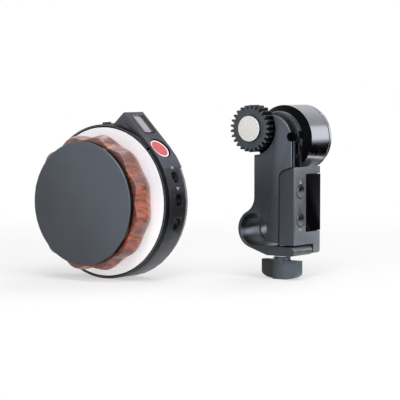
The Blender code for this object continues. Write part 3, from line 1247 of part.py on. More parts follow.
def side_key(cover, motor, name, height):
    """A turned metal key in a round pocket. It slides along X, into the cover."""
    frame = axis_empty(name + "_axis", motor, (0, SIDE_KEY_LINE, height), math.pi / 2)
    top = SIDE_RIGHT + SIDE_KEY_PROUD
    bottom = top - SIDE_KEY_CAP_HEIGHT
    pocket_floor = bottom - KEY_TRAVEL - SEAT_GAP
    join(cover, raised(rod(SIDE_PAD_RADIUS, SIDE_PAD_INNER, SIDE_RIGHT - SEAT_GAP, SMALL_SEGMENTS)), frame)
    pocket = rod(SIDE_KEY_RADIUS + SEAT_GAP, pocket_floor, SIDE_RIGHT + OVERRUN, SMALL_SEGMENTS)
    cut(cover, raised(pocket), frame)
    hole = KEY_STEM_RADIUS + SEAT_GAP
    cut(cover, raised(rod(hole, SIDE_PAD_INNER - OVERRUN, pocket_floor + OVERRUN, TINY_SEGMENTS)), frame)
    stem_end = MOTOR_BOARD_INNER + MOTOR_BOARD_THICKNESS + KEY_TRAVEL + SEAT_GAP
    profile = [
        (0, top - SIDE_KEY_DISH),
        (SIDE_KEY_RADIUS - SIDE_KEY_DISH, top),
        (SIDE_KEY_RADIUS, top - SIDE_KEY_DISH),
        (SIDE_KEY_RADIUS, bottom),
        (KEY_STEM_RADIUS, bottom),
        (KEY_STEM_RADIUS, stem_end),
        (0, stem_end),
    ]
    solid(raised(turned(profile, SMALL_SEGMENTS)), name, frame, STEEL)


def drum(motor):
    """The turned drum with its chamfered face, and the cap that closes its back."""
    cone_back = DRUM_FACE + DRUM_CONE_DEPTH
    cap_front = DRUM_BACK - DRUM_CAP_DEPTH
    inner = DRUM_RADIUS - DRUM_WALL
    floor = DRUM_FACE + DRUM_FACE_WALL
    profile = [
        (0, DRUM_FACE),
        (DRUM_FACE_RADIUS, DRUM_FACE),
        (DRUM_RADIUS, cone_back),
        (DRUM_RADIUS, cap_front - SEAT_GAP),
        (inner, cap_front - SEAT_GAP),
        (inner, cone_back + SEAT_GAP),
        (DRUM_FACE_RADIUS - DRUM_WALL, floor),
        (0, floor),
    ]
    case = solid(turned(profile, DRUM_SEGMENTS), "drum_case", motor, DRUM_METAL)
    hole = OUTPUT_RADIUS + SEAT_GAP
    cut(case, rod(hole, DRUM_FACE - OVERRUN, floor + OVERRUN, TINY_SEGMENTS, (GEAR_X, GEAR_Z)))
    spigot = inner - SEAT_GAP
    inner_face = DRUM_BACK - DRUM_CAP_SKIN
    bearing_room = ROTOR_BEARING_RADIUS + SEAT_GAP
    profile = [
        (0, inner_face),
        (bearing_room, inner_face),
        (bearing_room, cap_front),
        (bearing_room + DRUM_WALL, cap_front),
        (bearing_room + DRUM_WALL, inner_face - SEAT_GAP),
        (spigot - DRUM_WALL, inner_face - SEAT_GAP),
        (spigot - DRUM_WALL, cap_front - DRUM_CAP_SPIGOT),
        (spigot, cap_front - DRUM_CAP_SPIGOT),
        (spigot, cap_front + DRUM_CAP_GROOVE),
        (DRUM_RADIUS, cap_front + DRUM_CAP_GROOVE),
        (DRUM_RADIUS, DRUM_BACK - DRUM_CAP_EDGE),
        (DRUM_RADIUS - DRUM_CAP_EDGE, DRUM_BACK),
        (0, DRUM_BACK),
    ]
    cap = solid(turned(profile, DRUM_SEGMENTS), "drum_cap", motor, DRUM_METAL)
    seat = DRUM_BACK - DRUM_SCREW_HEAD_HEIGHT - SEAT_GAP
    for number, angle in enumerate(DRUM_SCREW_ANGLES, 1):
        centre = polar(DRUM_SCREW_CIRCLE, angle)
        head_room = DRUM_SCREW_HEAD_RADIUS + SEAT_GAP
        cut(cap, rod(head_room, seat - SEAT_GAP, DRUM_BACK + OVERRUN, TINY_SEGMENTS, centre))
        sizes = (DRUM_SCREW_HEAD_RADIUS, DRUM_SCREW_HEAD_HEIGHT, DRUM_SCREW_RADIUS, DRUM_SCREW_LENGTH)
        hole = DRUM_SCREW_RADIUS + SEAT_GAP
        cut(cap, rod(hole, inner_face - OVERRUN, seat + OVERRUN, TINY_SEGMENTS, centre))
        hex_head_screw(f"drum_cap_screw_{number}", motor, centre, seat, 1, sizes, STEEL)


def lens_drive(motor):
    """The toothed lens gear on its output shaft, with the pinion at the shaft's inner end."""
    output = axis_empty("output_axis", motor, (GEAR_X, 0, GEAR_Z))
    gear_front = -LENS_GEAR_FRONT
    gear_back = gear_front + LENS_GEAR_WIDTH
    outline = involute_gear(LENS_MODULE, LENS_TEETH, math.pi / 2, 0, FLANK_STEPS)
    gear = solid(prism(outline, gear_front, gear_back), "lens_gear", output, BLACK_PLASTIC)
    disc_front = gear_front - GEAR_DISC_PROUD
    disc_floor = disc_front + GEAR_DISC_THICKNESS + SEAT_GAP
    cut(gear, rod(GEAR_DISC_RADIUS + SEAT_GAP, gear_front - OVERRUN, disc_floor, MIDDLE_SEGMENTS))
    head_floor = disc_floor + GEAR_SCREW_HEAD_HEIGHT + SEAT_GAP
    cut(gear, rod(GEAR_SCREW_HEAD_RADIUS + SEAT_GAP, disc_floor - OVERRUN, head_floor, SMALL_SEGMENTS))
    cut(gear, rod(OUTPUT_RADIUS + SEAT_GAP, head_floor - OVERRUN, gear_back + OVERRUN, TINY_SEGMENTS))
    disc = rod(GEAR_DISC_RADIUS, disc_front, disc_front + GEAR_DISC_THICKNESS, MIDDLE_SEGMENTS)
    solid(disc, "gear_disc", output, SILVER)
    shaft_front = head_floor + SEAT_GAP
    sizes = (GEAR_SCREW_HEAD_RADIUS, GEAR_SCREW_HEAD_HEIGHT, GEAR_SCREW_RADIUS, GEAR_SCREW_LENGTH)
    hex_head_screw("gear_screw", output, (0, 0), head_floor - SEAT_GAP / 2, -1, sizes, STEEL)
    output_shaft(output, shaft_front, gear_back)
    bush_front = GEAR_RECESS_DEPTH + SEAT_GAP
    inner = OUTPUT_RADIUS + SEAT_GAP
    bush = ring(inner, OUTPUT_BUSH_RADIUS, bush_front, NECK_DEPTH, SMALL_SEGMENTS, (GEAR_X, GEAR_Z))
    solid(bush, "output_bush", motor, BRONZE)
    rear_front = GEARHEAD_FRONT + SEAT_GAP
    rear_back = rear_front + PINION_BUSH_DEPTH
    rear = ring(inner, PINION_BUSH_RADIUS, rear_front, rear_back, SMALL_SEGMENTS, (GEAR_X, GEAR_Z))
    solid(rear, "pinion_bush", motor, BRONZE)


def output_shaft(output, shaft_front, gear_back):
    pinion_back = PINION_FRONT + PINION_WIDTH
    screw_room = GEAR_SCREW_RADIUS + SEAT_GAP
    screw_floor = shaft_front + GEAR_SCREW_LENGTH
    shaft_back = GEARHEAD_FRONT + SEAT_GAP + PINION_BUSH_DEPTH
    profile = [
        (0, screw_floor),
        (screw_room, screw_floor),
        (screw_room, shaft_front),
        (OUTPUT_RADIUS, shaft_front),
        (OUTPUT_RADIUS, shaft_back),
        (0, shaft_back),
    ]
    shaft = solid(turned(profile, SMALL_SEGMENTS), "output_shaft", output, STEEL)
    half_tooth = math.pi / PINION_TEETH
    phase = GEAR_DIRECTION + math.pi + half_tooth
    outline = involute_gear(INNER_MODULE, PINION_TEETH, phase, INNER_BACKLASH, INNER_FLANK_STEPS)
    join(shaft, prism(outline, PINION_FRONT, pinion_back), output)


def gear_train(motor):
    """The transfer gear on the gearhead's shaft, the sealed gearhead, and the motor behind it."""
    middle = PINION_FRONT + PINION_WIDTH / 2
    front = middle - TRANSFER_WIDTH / 2
    sizes = (INNER_MODULE, TRANSFER_TEETH)
    outline = involute_gear(*sizes, GEAR_DIRECTION, INNER_BACKLASH, INNER_FLANK_STEPS)
    transfer = solid(prism(outline, front, front + TRANSFER_WIDTH), "transfer_gear", motor, BRONZE)
    hub_back = front + TRANSFER_WIDTH + TRANSFER_HUB_DEPTH
    join(transfer, rod(TRANSFER_HUB_RADIUS, front + SEAT_GAP, hub_back, SMALL_SEGMENTS))
    stub = GEARHEAD_FRONT + GEARHEAD_DEPTH / 2
    join(transfer, rod(GEARHEAD_SHAFT_RADIUS, front + 2 * SEAT_GAP, stub, TINY_SEGMENTS))
    head_back = GEARHEAD_FRONT + GEARHEAD_DEPTH
    socket = GEARHEAD_SHAFT_RADIUS + SEAT_GAP
    rotor_room = ROTOR_SHAFT_RADIUS + SEAT_GAP
    profile = [
        (0, stub + SEAT_GAP),
        (socket, stub + SEAT_GAP),
        (socket, GEARHEAD_FRONT),
        (GEARHEAD_RADIUS, GEARHEAD_FRONT),
        (GEARHEAD_RADIUS, head_back),
        (rotor_room, head_back),
        (rotor_room, head_back - ROTOR_SHAFT_STUB / 2),
        (0, head_back - ROTOR_SHAFT_STUB / 2),
    ]
    gearhead = solid(turned(profile, MIDDLE_SEGMENTS), "gearhead", motor, STEEL)
    bush_room = PINION_BUSH_RADIUS + SEAT_GAP
    bush_back = GEARHEAD_FRONT + PINION_BUSH_DEPTH + 2 * SEAT_GAP
    room = rod(bush_room, GEARHEAD_FRONT - OVERRUN, bush_back, SMALL_SEGMENTS, (GEAR_X, GEAR_Z))
    cut(gearhead, room)
    stator_front = head_back + SEAT_GAP
    stator_back = stator_front + STATOR_DEPTH
    stator = ring(STATOR_BORE, GEARHEAD_RADIUS, stator_front, stator_back, STATOR_SEGMENTS)
    made = solid(stator, "stator", motor, COPPER)
    for pole in range(STATOR_POLES):
        frame = axis_empty("stator_slot_axis", motor, (0, 0, 0), math.tau * pole / STATOR_POLES)
        low = (-STATOR_SLOT_WIDTH / 2, stator_front - OVERRUN, STATOR_BORE - OVERRUN)
        high = (STATOR_SLOT_WIDTH / 2, stator_back + OVERRUN, STATOR_BORE + STATOR_SLOT_DEPTH)
        cut(made, block(low, high), frame)
    rotor(motor, stator_front, stator_back)


def rotor(motor, stator_front, stator_back):
    shaft_front = stator_front - SEAT_GAP - ROTOR_SHAFT_STUB / 2 + SEAT_GAP
    bearing_back = DRUM_BACK - DRUM_CAP_SKIN - SEAT_GAP
    bearing_front = bearing_back - ROTOR_BEARING_DEPTH
    profile = [
        (0, shaft_front),
        (ROTOR_SHAFT_RADIUS, shaft_front),
        (ROTOR_SHAFT_RADIUS, stator_front),
        (ROTOR_RADIUS, stator_front),
        (ROTOR_RADIUS, stator_back),
        (ROTOR_SHAFT_RADIUS, stator_back),
        (ROTOR_SHAFT_RADIUS, bearing_back),
        (0, bearing_back),
    ]
    solid(turned(profile, MIDDLE_SEGMENTS), "rotor", motor, STEEL)
    inner = ROTOR_SHAFT_RADIUS + SEAT_GAP
    bearing = ring(inner, ROTOR_BEARING_RADIUS, bearing_front, bearing_back, SMALL_SEGMENTS)
    solid(bearing, "rotor_bearing", motor, STEEL)


def knuckle_height():
    """The hinge line's height: the jaw's arm is as thick as its knuckle."""
    return -ROD_BORE_Z - ROD_BORE_RADIUS - JAW_ARM_THICKNESS / 2


def clamp_jaw(motor):
    """The hinged half of the rod clamp: an arm with a full-round knuckle, and the left half of the ring."""
    knuckle = (KNUCKLE_X, knuckle_height())
    jaw_axis = axis_empty("jaw_axis", motor, (knuckle[0], 0, knuckle[1]))
    bore = (-ROD_BORE_X, -ROD_BORE_Z)
    outer = ROD_BORE_RADIUS + CLAMP_WALL
    split = CLAMP_SPLIT_ANGLE + SEAT_GAP / ROD_BORE_RADIUS
    corner, tangent = jaw_tangent()
    half = JAW_ARM_THICKNESS / 2
    points = arc(bore, outer, split, tangent, SMALL_SEGMENTS)
    points += [corner]
    points += arc(knuckle, half, -math.pi / 2, math.pi / 2, 2 * CORNER_STEPS)
    points += list(reversed(arc(bore, ROD_BORE_RADIUS, split, 3 * math.pi / 2, SMALL_SEGMENTS)))
    points = [(x - knuckle[0], z - knuckle[1]) for x, z in points]
    jaw = solid(prism(points, 0, JAW_DEPTH, PLATE_CHAMFER), "clamp_jaw", jaw_axis, GUNMETAL)
    pin_room = PIN_RADIUS + SEAT_GAP
    cut(jaw, rod(pin_room, PIN_FRONT - SEAT_GAP, JAW_DEPTH + OVERRUN, TINY_SEGMENTS))
    slot_reach = SCREW_RADIUS + SEAT_GAP
    left = SCREW_X - knuckle[0] - SCREW_SLOT_EXTRA
    right = SCREW_X - knuckle[0] + SCREW_SLOT_EXTRA
    slot = []
    for step in range(TINY_SEGMENTS // 2 + 1):
        turn = -math.pi / 2 + math.pi * step / (TINY_SEGMENTS // 2)
        slot.append((right + slot_reach * math.cos(turn), SCREW_Y + slot_reach * math.sin(turn)))
    for step in range(TINY_SEGMENTS // 2 + 1):
        turn = math.pi / 2 + math.pi * step / (TINY_SEGMENTS // 2)
        slot.append((left + slot_reach * math.cos(turn), SCREW_Y + slot_reach * math.sin(turn)))
    cut(jaw, upright(slot, -half - OVERRUN, half + OVERRUN))
    pin = rod(PIN_RADIUS, PIN_FRONT, BODY_DEPTH, TINY_SEGMENTS, knuckle)
    solid(pin, "jaw_pin", motor, STEEL)


def clamp_screw(motor):
    """The winged knob, its threaded stem and the washer that it drives up against the jaw."""
    screw = axis_empty("clamp_screw_axis", motor, (SCREW_X, SCREW_Y, 0))
    washer_top = -JAW_BOTTOM - SEAT_GAP
    washer_bottom = washer_top - WASHER_THICKNESS
    hole = SCREW_RADIUS + SEAT_GAP
    washer = ring(hole, WASHER_RADIUS, washer_bottom, washer_top, SMALL_SEGMENTS)
    solid(raised(washer), "clamp_washer", screw, STEEL)
    stem_bottom = -KNOB_TOP - SOCKET_BLIND
    stem_top = -BODY_BOTTOM + SCREW_BITE
    stem = rod(SCREW_RADIUS, stem_bottom, stem_top, TINY_SEGMENTS)
    solid(raised(stem), "clamp_screw", screw, STEEL)
    winged_knob(screw, -KNOB_TOP, stem_bottom)


def winged_knob(screw, top, stem_bottom):
    """Two staggered wings with rounded heels, and a round boss on top that bears on the washer."""
    wing_top = top - KNOB_SHOULDER
    floor = top - KNOB_HEIGHT
    back = KNOB_FACE - KNOB_STEP
    plan = [
        (-KNOB_STEP_X, -KNOB_FACE),
        (KNOB_REACH, -KNOB_FACE),
        (KNOB_REACH, back),
        (KNOB_STEP_X, back),
        (KNOB_STEP_X, KNOB_FACE),
        (-KNOB_REACH, KNOB_FACE),
        (-KNOB_REACH, -back),
        (-KNOB_STEP_X, -back),
    ]
    knob = solid(upright(plan, floor, wing_top), "winged_knob", screw, GUNMETAL)
    heel_x = KNOB_REACH - KNOB_HEEL_RADIUS
    side = [(KNOB_REACH, wing_top + OVERRUN), (-KNOB_REACH, wing_top + OVERRUN)]
    heel = [(step / (2 * CORNER_STEPS)) * math.pi / 2 for step in range(2 * CORNER_STEPS + 1)]
    for turn in heel:
        across = heel_x + KNOB_HEEL_RADIUS * math.cos(turn)
        side.append((-across, floor + KNOB_HEEL_RISE * (1 - math.sin(turn))))
    for turn in reversed(heel):
        across = heel_x + KNOB_HEEL_RADIUS * math.cos(turn)
        side.append((across, floor + KNOB_HEEL_RISE * (1 - math.sin(turn))))
    reach = KNOB_FACE + OVERRUN
    combine(knob, prism(side, -reach, reach), "INTERSECT")
    boss = upright(circle((0, 0), KNOB_BOSS_RADIUS, SMALL_SEGMENTS), wing_top - OVERRUN, top)
    join(knob, boss)
    room = circle((0, 0), SCREW_RADIUS + SEAT_GAP, TINY_SEGMENTS)
    cut(knob, upright(room, stem_bottom - SEAT_GAP, top + OVERRUN))


def hand_wheel():
    wheel = axis_empty("hand_wheel_axis", None, (WHEEL_X, WHEEL_Y, RING_RADIUS))
    body = housing(wheel)
    display(body, wheel)
    record_key(body, wheel)
    rim_keys(body, wheel)
    key_flex(body, wheel)
    charging_port(body, wheel)
    front_ring(wheel)
    back_cover(wheel)
    wheel_electronics(wheel)
    turning_wheel(wheel)
    wheel_bearing(wheel)


def lens_motor():
    motor = axis_empty("drum_axis", None, (MOTOR_X, MOTOR_Y, MOTOR_AXIS_HEIGHT))
    motor_body(motor)
    side_cover(motor)
    drum(motor)
    lens_drive(motor)
    gear_train(motor)
    clamp_jaw(motor)
    clamp_screw(motor)


hand_wheel()
lens_motor()
bpy.context.view_layer.update()
print("pieces:", sum(1 for item in bpy.data.objects if item.type == "MESH" and not item.hide_render))
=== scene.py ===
# %% [markdown]
# # A lens follow focus, dressed for its picture
# The part is a set of two units: a hand wheel with a wooden knob, and a geared motor with a rod clamp.
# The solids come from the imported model, and this script gives them their looks. It loads the model as
# a fixed frame, so that each new piece takes its place and size from the solid that it stands for.

import json
import math

import bpy
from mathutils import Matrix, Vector

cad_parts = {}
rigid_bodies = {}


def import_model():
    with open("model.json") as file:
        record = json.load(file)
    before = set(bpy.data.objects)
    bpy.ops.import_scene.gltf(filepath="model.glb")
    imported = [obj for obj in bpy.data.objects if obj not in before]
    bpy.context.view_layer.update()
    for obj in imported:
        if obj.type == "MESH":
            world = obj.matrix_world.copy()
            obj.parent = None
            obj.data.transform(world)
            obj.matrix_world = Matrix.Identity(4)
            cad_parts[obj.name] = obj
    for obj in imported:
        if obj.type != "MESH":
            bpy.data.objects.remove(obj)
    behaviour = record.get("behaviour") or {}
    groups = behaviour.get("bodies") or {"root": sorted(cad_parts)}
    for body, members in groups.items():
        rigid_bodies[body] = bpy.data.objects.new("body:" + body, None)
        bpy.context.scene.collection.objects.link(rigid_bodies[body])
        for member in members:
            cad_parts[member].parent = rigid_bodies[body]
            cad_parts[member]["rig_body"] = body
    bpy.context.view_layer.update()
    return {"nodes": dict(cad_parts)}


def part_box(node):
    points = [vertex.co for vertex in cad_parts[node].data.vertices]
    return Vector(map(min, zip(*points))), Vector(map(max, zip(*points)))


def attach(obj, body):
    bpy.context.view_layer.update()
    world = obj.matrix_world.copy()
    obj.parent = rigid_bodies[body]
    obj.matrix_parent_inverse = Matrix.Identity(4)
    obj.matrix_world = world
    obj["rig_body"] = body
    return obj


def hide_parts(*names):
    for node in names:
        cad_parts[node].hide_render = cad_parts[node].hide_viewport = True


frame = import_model()
nodes = frame["nodes"]
body_of_node = {name: node["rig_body"] for name, node in nodes.items()}

# %% [markdown]
# The solids are in metres, and a maker of small parts thinks in millimetres. One constant turns one into
# the other. Both units are turned parts at heart, so each has one axis along Y, read from its solids:
# the ring's middle for the hand wheel, and the drum's middle for the motor. The front of the ring and the
# front of the plate are where depths are measured from.

# %% Measure the two units
MM = 0.001


def middle(name):
    """The middle of a solid's box."""
    low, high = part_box(name)
    return (low + high) / 2


def front(name):
    """How far forward a solid reaches. The front is towards -Y."""
    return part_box(name)[0].y


wheel = Vector((middle("front_ring").x, front("front_ring"), middle("front_ring").z))
motor = Vector((middle("drum_case").x, front("motor_body"), middle("drum_case").z))
gear = Vector((middle("gear_disc").x, front("gear_disc"), middle("gear_disc").z))
print("wheel at", [round(c / MM, 1) for c in wheel], "motor at", [round(c / MM, 1) for c in motor])

# %% [markdown]
# The picture is taken from the right of the set's front, a little above it, with a long lens that keeps
# parallel edges nearly parallel. The camera is placed by the direction it looks along, its distance and the
# width that the picture takes in, and the lens follows from those. A long lens far away flattens depth.

# %% Place the camera
VIEW_AZIMUTH = 36.2
VIEW_ELEVATION = 3.8
VIEW_DISTANCE = 950 * MM
VIEW_WIDTH = 192.5 * MM
AIM = Vector((8.1, 7.5, 36.9)) * MM


def aimed(name, data, azimuth, elevation, distance):
    """Adds a camera or a lamp that faces the aim from a distance. Its two angles are in degrees."""
    azimuth, elevation = math.radians(azimuth), math.radians(elevation)
    out = Vector((
        math.sin(azimuth) * math.cos(elevation),
        -math.cos(azimuth) * math.cos(elevation),
        math.sin(elevation),
    ))
    made = bpy.data.objects.new(name, data)
    bpy.context.scene.collection.objects.link(made)
    made.location = AIM + out * distance
    made.rotation_euler = (-out).to_track_quat("-Z", "Y").to_euler()
    return made


view = bpy.data.cameras.new("view")
view.lens = view.sensor_width * VIEW_DISTANCE / VIEW_WIDTH
view.clip_start = 10 * MM
bpy.context.scene.camera = aimed("view", view, VIEW_AZIMUTH, VIEW_ELEVATION, VIEW_DISTANCE)
print("lens", round(view.lens), "mm")

# %% [markdown]
# A finish is a small graph of shader nodes. Written node by node it hides its sense, so one class wraps a
# node's output and lets it be added, multiplied and so on like a number. Each such step adds a Math node.
# Any other node comes from one method, which takes its kind, its settings and what goes into its sockets.

# %% Wrap a shader socket so that arithmetic builds nodes
class Link:
    def __init__(self, tree, socket=None):
        self.tree = tree
        self.socket = socket

    def node(self, kind, settings=None, sockets=None, output=0):
        """Adds a node: its settings first, then the values or links of its sockets."""
        made = self.tree.nodes.new(kind)
        for name, value in (settings or {}).items():
            setattr(made, name, value)
        for name, value in (sockets or {}).items():
            if isinstance(value, Link):
                self.tree.links.new(value.socket, made.inputs[name])
            else:
                made.inputs[name].default_value = value
        return Link(self.tree, made.outputs[output] if made.outputs else None)

    def maths(self, operation, first, second=0.0, clamp=False):
        settings = {"operation": operation, "use_clamp": clamp}
        return self.node("ShaderNodeMath", settings, {0: first, 1: second})

    def __add__(self, other):
        return self.maths("ADD", self, other)

    def __radd__(self, other):
        return self.maths("ADD", other, self)

    def __sub__(self, other):
        return self.maths("SUBTRACT", self, other)

    def __rsub__(self, other):
        return self.maths("SUBTRACT", other, self)

    def __mul__(self, other):
        return self.maths("MULTIPLY", self, other)

    def __rmul__(self, other):
        return self.maths("MULTIPLY", other, self)

    def __truediv__(self, other):
        return self.maths("DIVIDE", self, other)

    def sine(self):
        return self.maths("SINE", self)

    def clipped(self):
        return self.maths("ADD", self, 0.0, True)

    def between(self, low, high):
        """0 below low, 1 above high, and smooth from one to the other."""
        settings = {"interpolation_type": "SMOOTHSTEP"}
        return self.node("ShaderNodeMapRange", settings, {"Value": self, "From Min": low, "From Max": high})


def rgba(colour):
    return (*colour, 1.0)


def mixed(factor, first, second):
    """One colour where the factor is 0 and the other where it is 1."""
    sockets = {0: factor, 6: first if isinstance(first, Link) else rgba(first)}
    sockets[7] = second if isinstance(second, Link) else rgba(second)
    settings = {"data_type": "RGBA", "clamp_factor": True}
    return factor.node("ShaderNodeMix", settings, sockets, output=2)


def here(link):
    """The place on the piece, in metres, which is the same as the place in the frame."""
    return link.node("ShaderNodeTexCoord", output="Object")


def placed(link, centre=(0, 0, 0), scale=(1, 1, 1), turn=(0, 0, 0)):
    """The place measured from a centre, turned, then stretched along the axes."""
    shifted = link.node(
        "ShaderNodeVectorMath", {"operation": "SUBTRACT"}, {0: here(link), 1: tuple(centre)}
    )
    turned = link.node("ShaderNodeMapping", {}, {"Vector": shifted, "Rotation": turn})
    return link.node("ShaderNodeMapping", {}, {"Vector": turned, "Scale": scale})


def noise(vector, size, detail=2.0, rough=0.5):
    """Soft noise whose grains are about one size across, in metres."""
    sockets = {"Vector": vector, "Scale": 1 / size, "Detail": detail, "Roughness": rough}
    return vector.node("ShaderNodeTexNoise", {}, sockets)


def measured(link, origin, direction):
    """How far the place lies from an origin along a direction."""
    shifted = link.node("ShaderNodeVectorMath", {"operation": "SUBTRACT"}, {0: here(link), 1: tuple(origin)})
    along = {0: shifted, 1: tuple(direction)}
    return link.node("ShaderNodeVectorMath", {"operation": "DOT_PRODUCT"}, along, output="Value")


def bumped(height, depth, strength=1.0):
    """Turns a height from 0 to 1 into a normal, for a relief of one depth in metres."""
    return height.node("ShaderNodeBump", {}, {"Height": height, "Distance": depth, "Strength": strength})


def new_finish(name):
    """An empty material, and a link to start its graph from."""
    material = bpy.data.materials.new(name)
    material.use_nodes = True
    material.node_tree.nodes.clear()
    return material, Link(material.node_tree)


def surfaced(link, sockets):
    """Ends the graph in a Principled shader."""
    shader = link.node("ShaderNodeBsdfPrincipled", {}, sockets)
    link.node("ShaderNodeOutputMaterial", {}, {"Surface": shader})
    return shader


print("shader arithmetic ready")

# %% [markdown]
# The studio is a pale floor under an even white sky. A camera, a mirror or a glass sees the sky as plain
# white, and everything else gets a softer share of it, so that the background is white while the object
# keeps its own colours. A large soft lamp gives the forms their shading, a tall one at the right draws a
# highlight on each rounded form, and a weaker one from behind lights the edges.

# %% Light the studio
SKY_FOR_THE_EYE = 1.0
SKY_FOR_THE_OBJECT = 0.5

sky = bpy.data.worlds.new("studio_sky")
bpy.context.scene.world = sky
sky.use_nodes = True
sky.node_tree.nodes.clear()
start = Link(sky.node_tree)


def seen_directly(link):
    """1 for rays that come from the camera, a reflection or a glass, and 0 for the rest."""
    camera_ray = link.node("ShaderNodeLightPath", output="Is Camera Ray")
    glossy_ray = link.node("ShaderNodeLightPath", output="Is Glossy Ray")
    clear_ray = link.node("ShaderNodeLightPath", output="Is Transmission Ray")
    return (camera_ray + glossy_ray + clear_ray).clipped()


strength = SKY_FOR_THE_OBJECT + seen_directly(start) * (SKY_FOR_THE_EYE - SKY_FOR_THE_OBJECT)
background = start.node("ShaderNodeBackground", {}, {"Color": (1, 1, 1, 1), "Strength": strength})
start.node("ShaderNodeOutputWorld", {}, {"Surface": background})
bpy.context.scene.view_settings.view_transform = "Standard"

LAMPS = {
    "key": (38, 50, 700, (380, 380), 2.3),
    "side": (84, 18, 700, (300, 460), 1.4),
    "rear": (190, 50, 800, (400, 400), 1.4),
}
for name, (azimuth, elevation, distance, size, power) in LAMPS.items():
    light = bpy.data.lights.new(name, "AREA")
    light.shape = "RECTANGLE"
    light.size, light.size_y = (side * MM for side in size)
    light.energy = power
    aimed(name, light, azimuth, elevation, distance * MM)
print(len(LAMPS), "lamps")

# %% [markdown]
# The floor is a wide thin plate just under the object. It takes the object's soft shadow and fades into the
# white of the sky with distance. For the eye it shows a share of plain white, which keeps the shadow light.

# %% Lay the floor
FLOOR_SIZE = 2400
FLOOR_LEVEL = -0.1
FLOOR_FADE_FROM = 120 * MM
FLOOR_FADE_TO = 420 * MM
SHADOW_SHARE = 0.5


def clear_selection():
    bpy.ops.object.select_all(action="DESELECT")


def sheet(name, size, at, turn=(0, 0, 0)):
    """A flat sheet: its size and place in millimetres, and how it is turned, in degrees."""
    clear_selection()
    bpy.ops.mesh.primitive_grid_add(x_subdivisions=2, y_subdivisions=2, size=1 * MM,
                                    location=[value * MM for value in at],
                                    rotation=[math.radians(degrees) for degrees in turn])
    made = bpy.context.object
    made.name = name
    made.scale = (*size, 1)
    bpy.ops.object.transform_apply()
    return made


floor = sheet("floor", (FLOOR_SIZE, FLOOR_SIZE), (0, 0, FLOOR_LEVEL))
material, start = new_finish("pale_floor")
plain = start.node("ShaderNodeBsdfDiffuse", {}, {"Color": (0.92, 0.92, 0.92, 1)})
white = start.node("ShaderNodeEmission", {}, {"Color": (1, 1, 1, 1), "Strength": SKY_FOR_THE_EYE})
distance = start.node("ShaderNodeVectorMath", {"operation": "LENGTH"}, {0: here(start)}, output="Value")
faded = distance.between(FLOOR_FADE_FROM, FLOOR_FADE_TO)
share = seen_directly(start) * (1 - SHADOW_SHARE * (1 - faded))
surface = start.node("ShaderNodeMixShader", {}, {0: share, 1: plain, 2: white})
start.node("ShaderNodeOutputMaterial", {}, {"Surface": surface})
floor.data.materials.append(material)
print("floor", FLOOR_SIZE, "mm wide")

# %% [markdown]
# A polished barrel shows its surroundings more than itself. In a studio, cards hang round such a product to
# draw its bands. A grey one high behind it dims the upper half. A black one on the floor behind it makes the
# dark band under the bright one, and a small one near the drum dims what its lowest part mirrors. Each card
# grows lighter from one side to the other, so that its band fades. The cards are seen only in reflections,
# and they take no light from anything else.

# %% Hang the cards
CARDS = {
    "grey_card": {"at": (90, 356, 374), "size": (400, 680), "turn": (90, 33.6, 0), "from": (257, 356, 203),
                  "towards": (-0.833, 0, 0.553), "shades": ((0, 0.38), (330, 0.6))},
    "black_card": {"at": (325, 416, 1), "size": (420, 760), "turn": (0, 0, -40), "from": (68, 110, 1),
                   "towards": (0.643, 0.766, 0), "shades": ((200, 0), (500, 0.5))},
    "near_card": {"at": (50, 88, 1.5), "size": (150, 76), "turn": (0, 0, -40), "from": (68, 110, 1),
                  "towards": (-0.643, -0.766, 0), "shades": ((-20, 0.1), (60, 0.5))},
}


def lit(start, card):
    """The light of a card, which changes evenly from one place on it to another."""
    (near, dim), (far, bright) = card["shades"]
    away = measured(start, [value * MM for value in card["from"]], card["towards"])
    return mixed(away.between(near * MM, far * MM), (dim, dim, dim), (bright, bright, bright))


for name, card in CARDS.items():
    hung = sheet(name, card["size"], card["at"], card["turn"])
    material, start = new_finish(name)
    shade = start.node("ShaderNodeEmission", {}, {"Color": lit(start, card), "Strength": 1.0})
    start.node("ShaderNodeOutputMaterial", {}, {"Surface": shade})
    hung.data.materials.append(material)
    hung.visible_camera = False
    hung.visible_diffuse = False
    hung.visible_shadow = False
    hung.visible_transmission = False
print(len(CARDS), "cards")

# %% [markdown]
# Paint charts give colours as they look on a screen, from 0 to 255. A shader wants the amount of light, so
# one helper turns the first into the second. All colours below are written as they look.

# %% Colours as they look
def tone(red, green, blue):
    """A colour from 0 to 255, as the amount of light that a shader wants."""
    parts = []
    for part in (red, green, blue):
        share = part / 255
        parts.append(share / 12.92 if share <= 0.04045 else ((share + 0.055) / 1.055) ** 2.4)
    return tuple(parts)


print("slate is", [round(part, 3) for part in tone(100, 98, 106)])

# %% [markdown]
# Anodised aluminium is blasted with fine beads before it is dyed, so it has a soft sheen with a very fine
# grain. The dye lies a little unevenly. The finish is a metal whose colour drifts slowly, whose roughness
# changes with it, and whose normal carries the grain. Moulded plastic and paint take the same graph with
# other numbers: no metal, a coarser grain, and a clear coat where they shine.

# %% Anodised metal, paint and moulded plastic
GRAIN = 0.12 * MM
DRIFT = 14 * MM
PAINTED_LIGHT_WEIGHT = 0.85  # how much a slope or a share decides


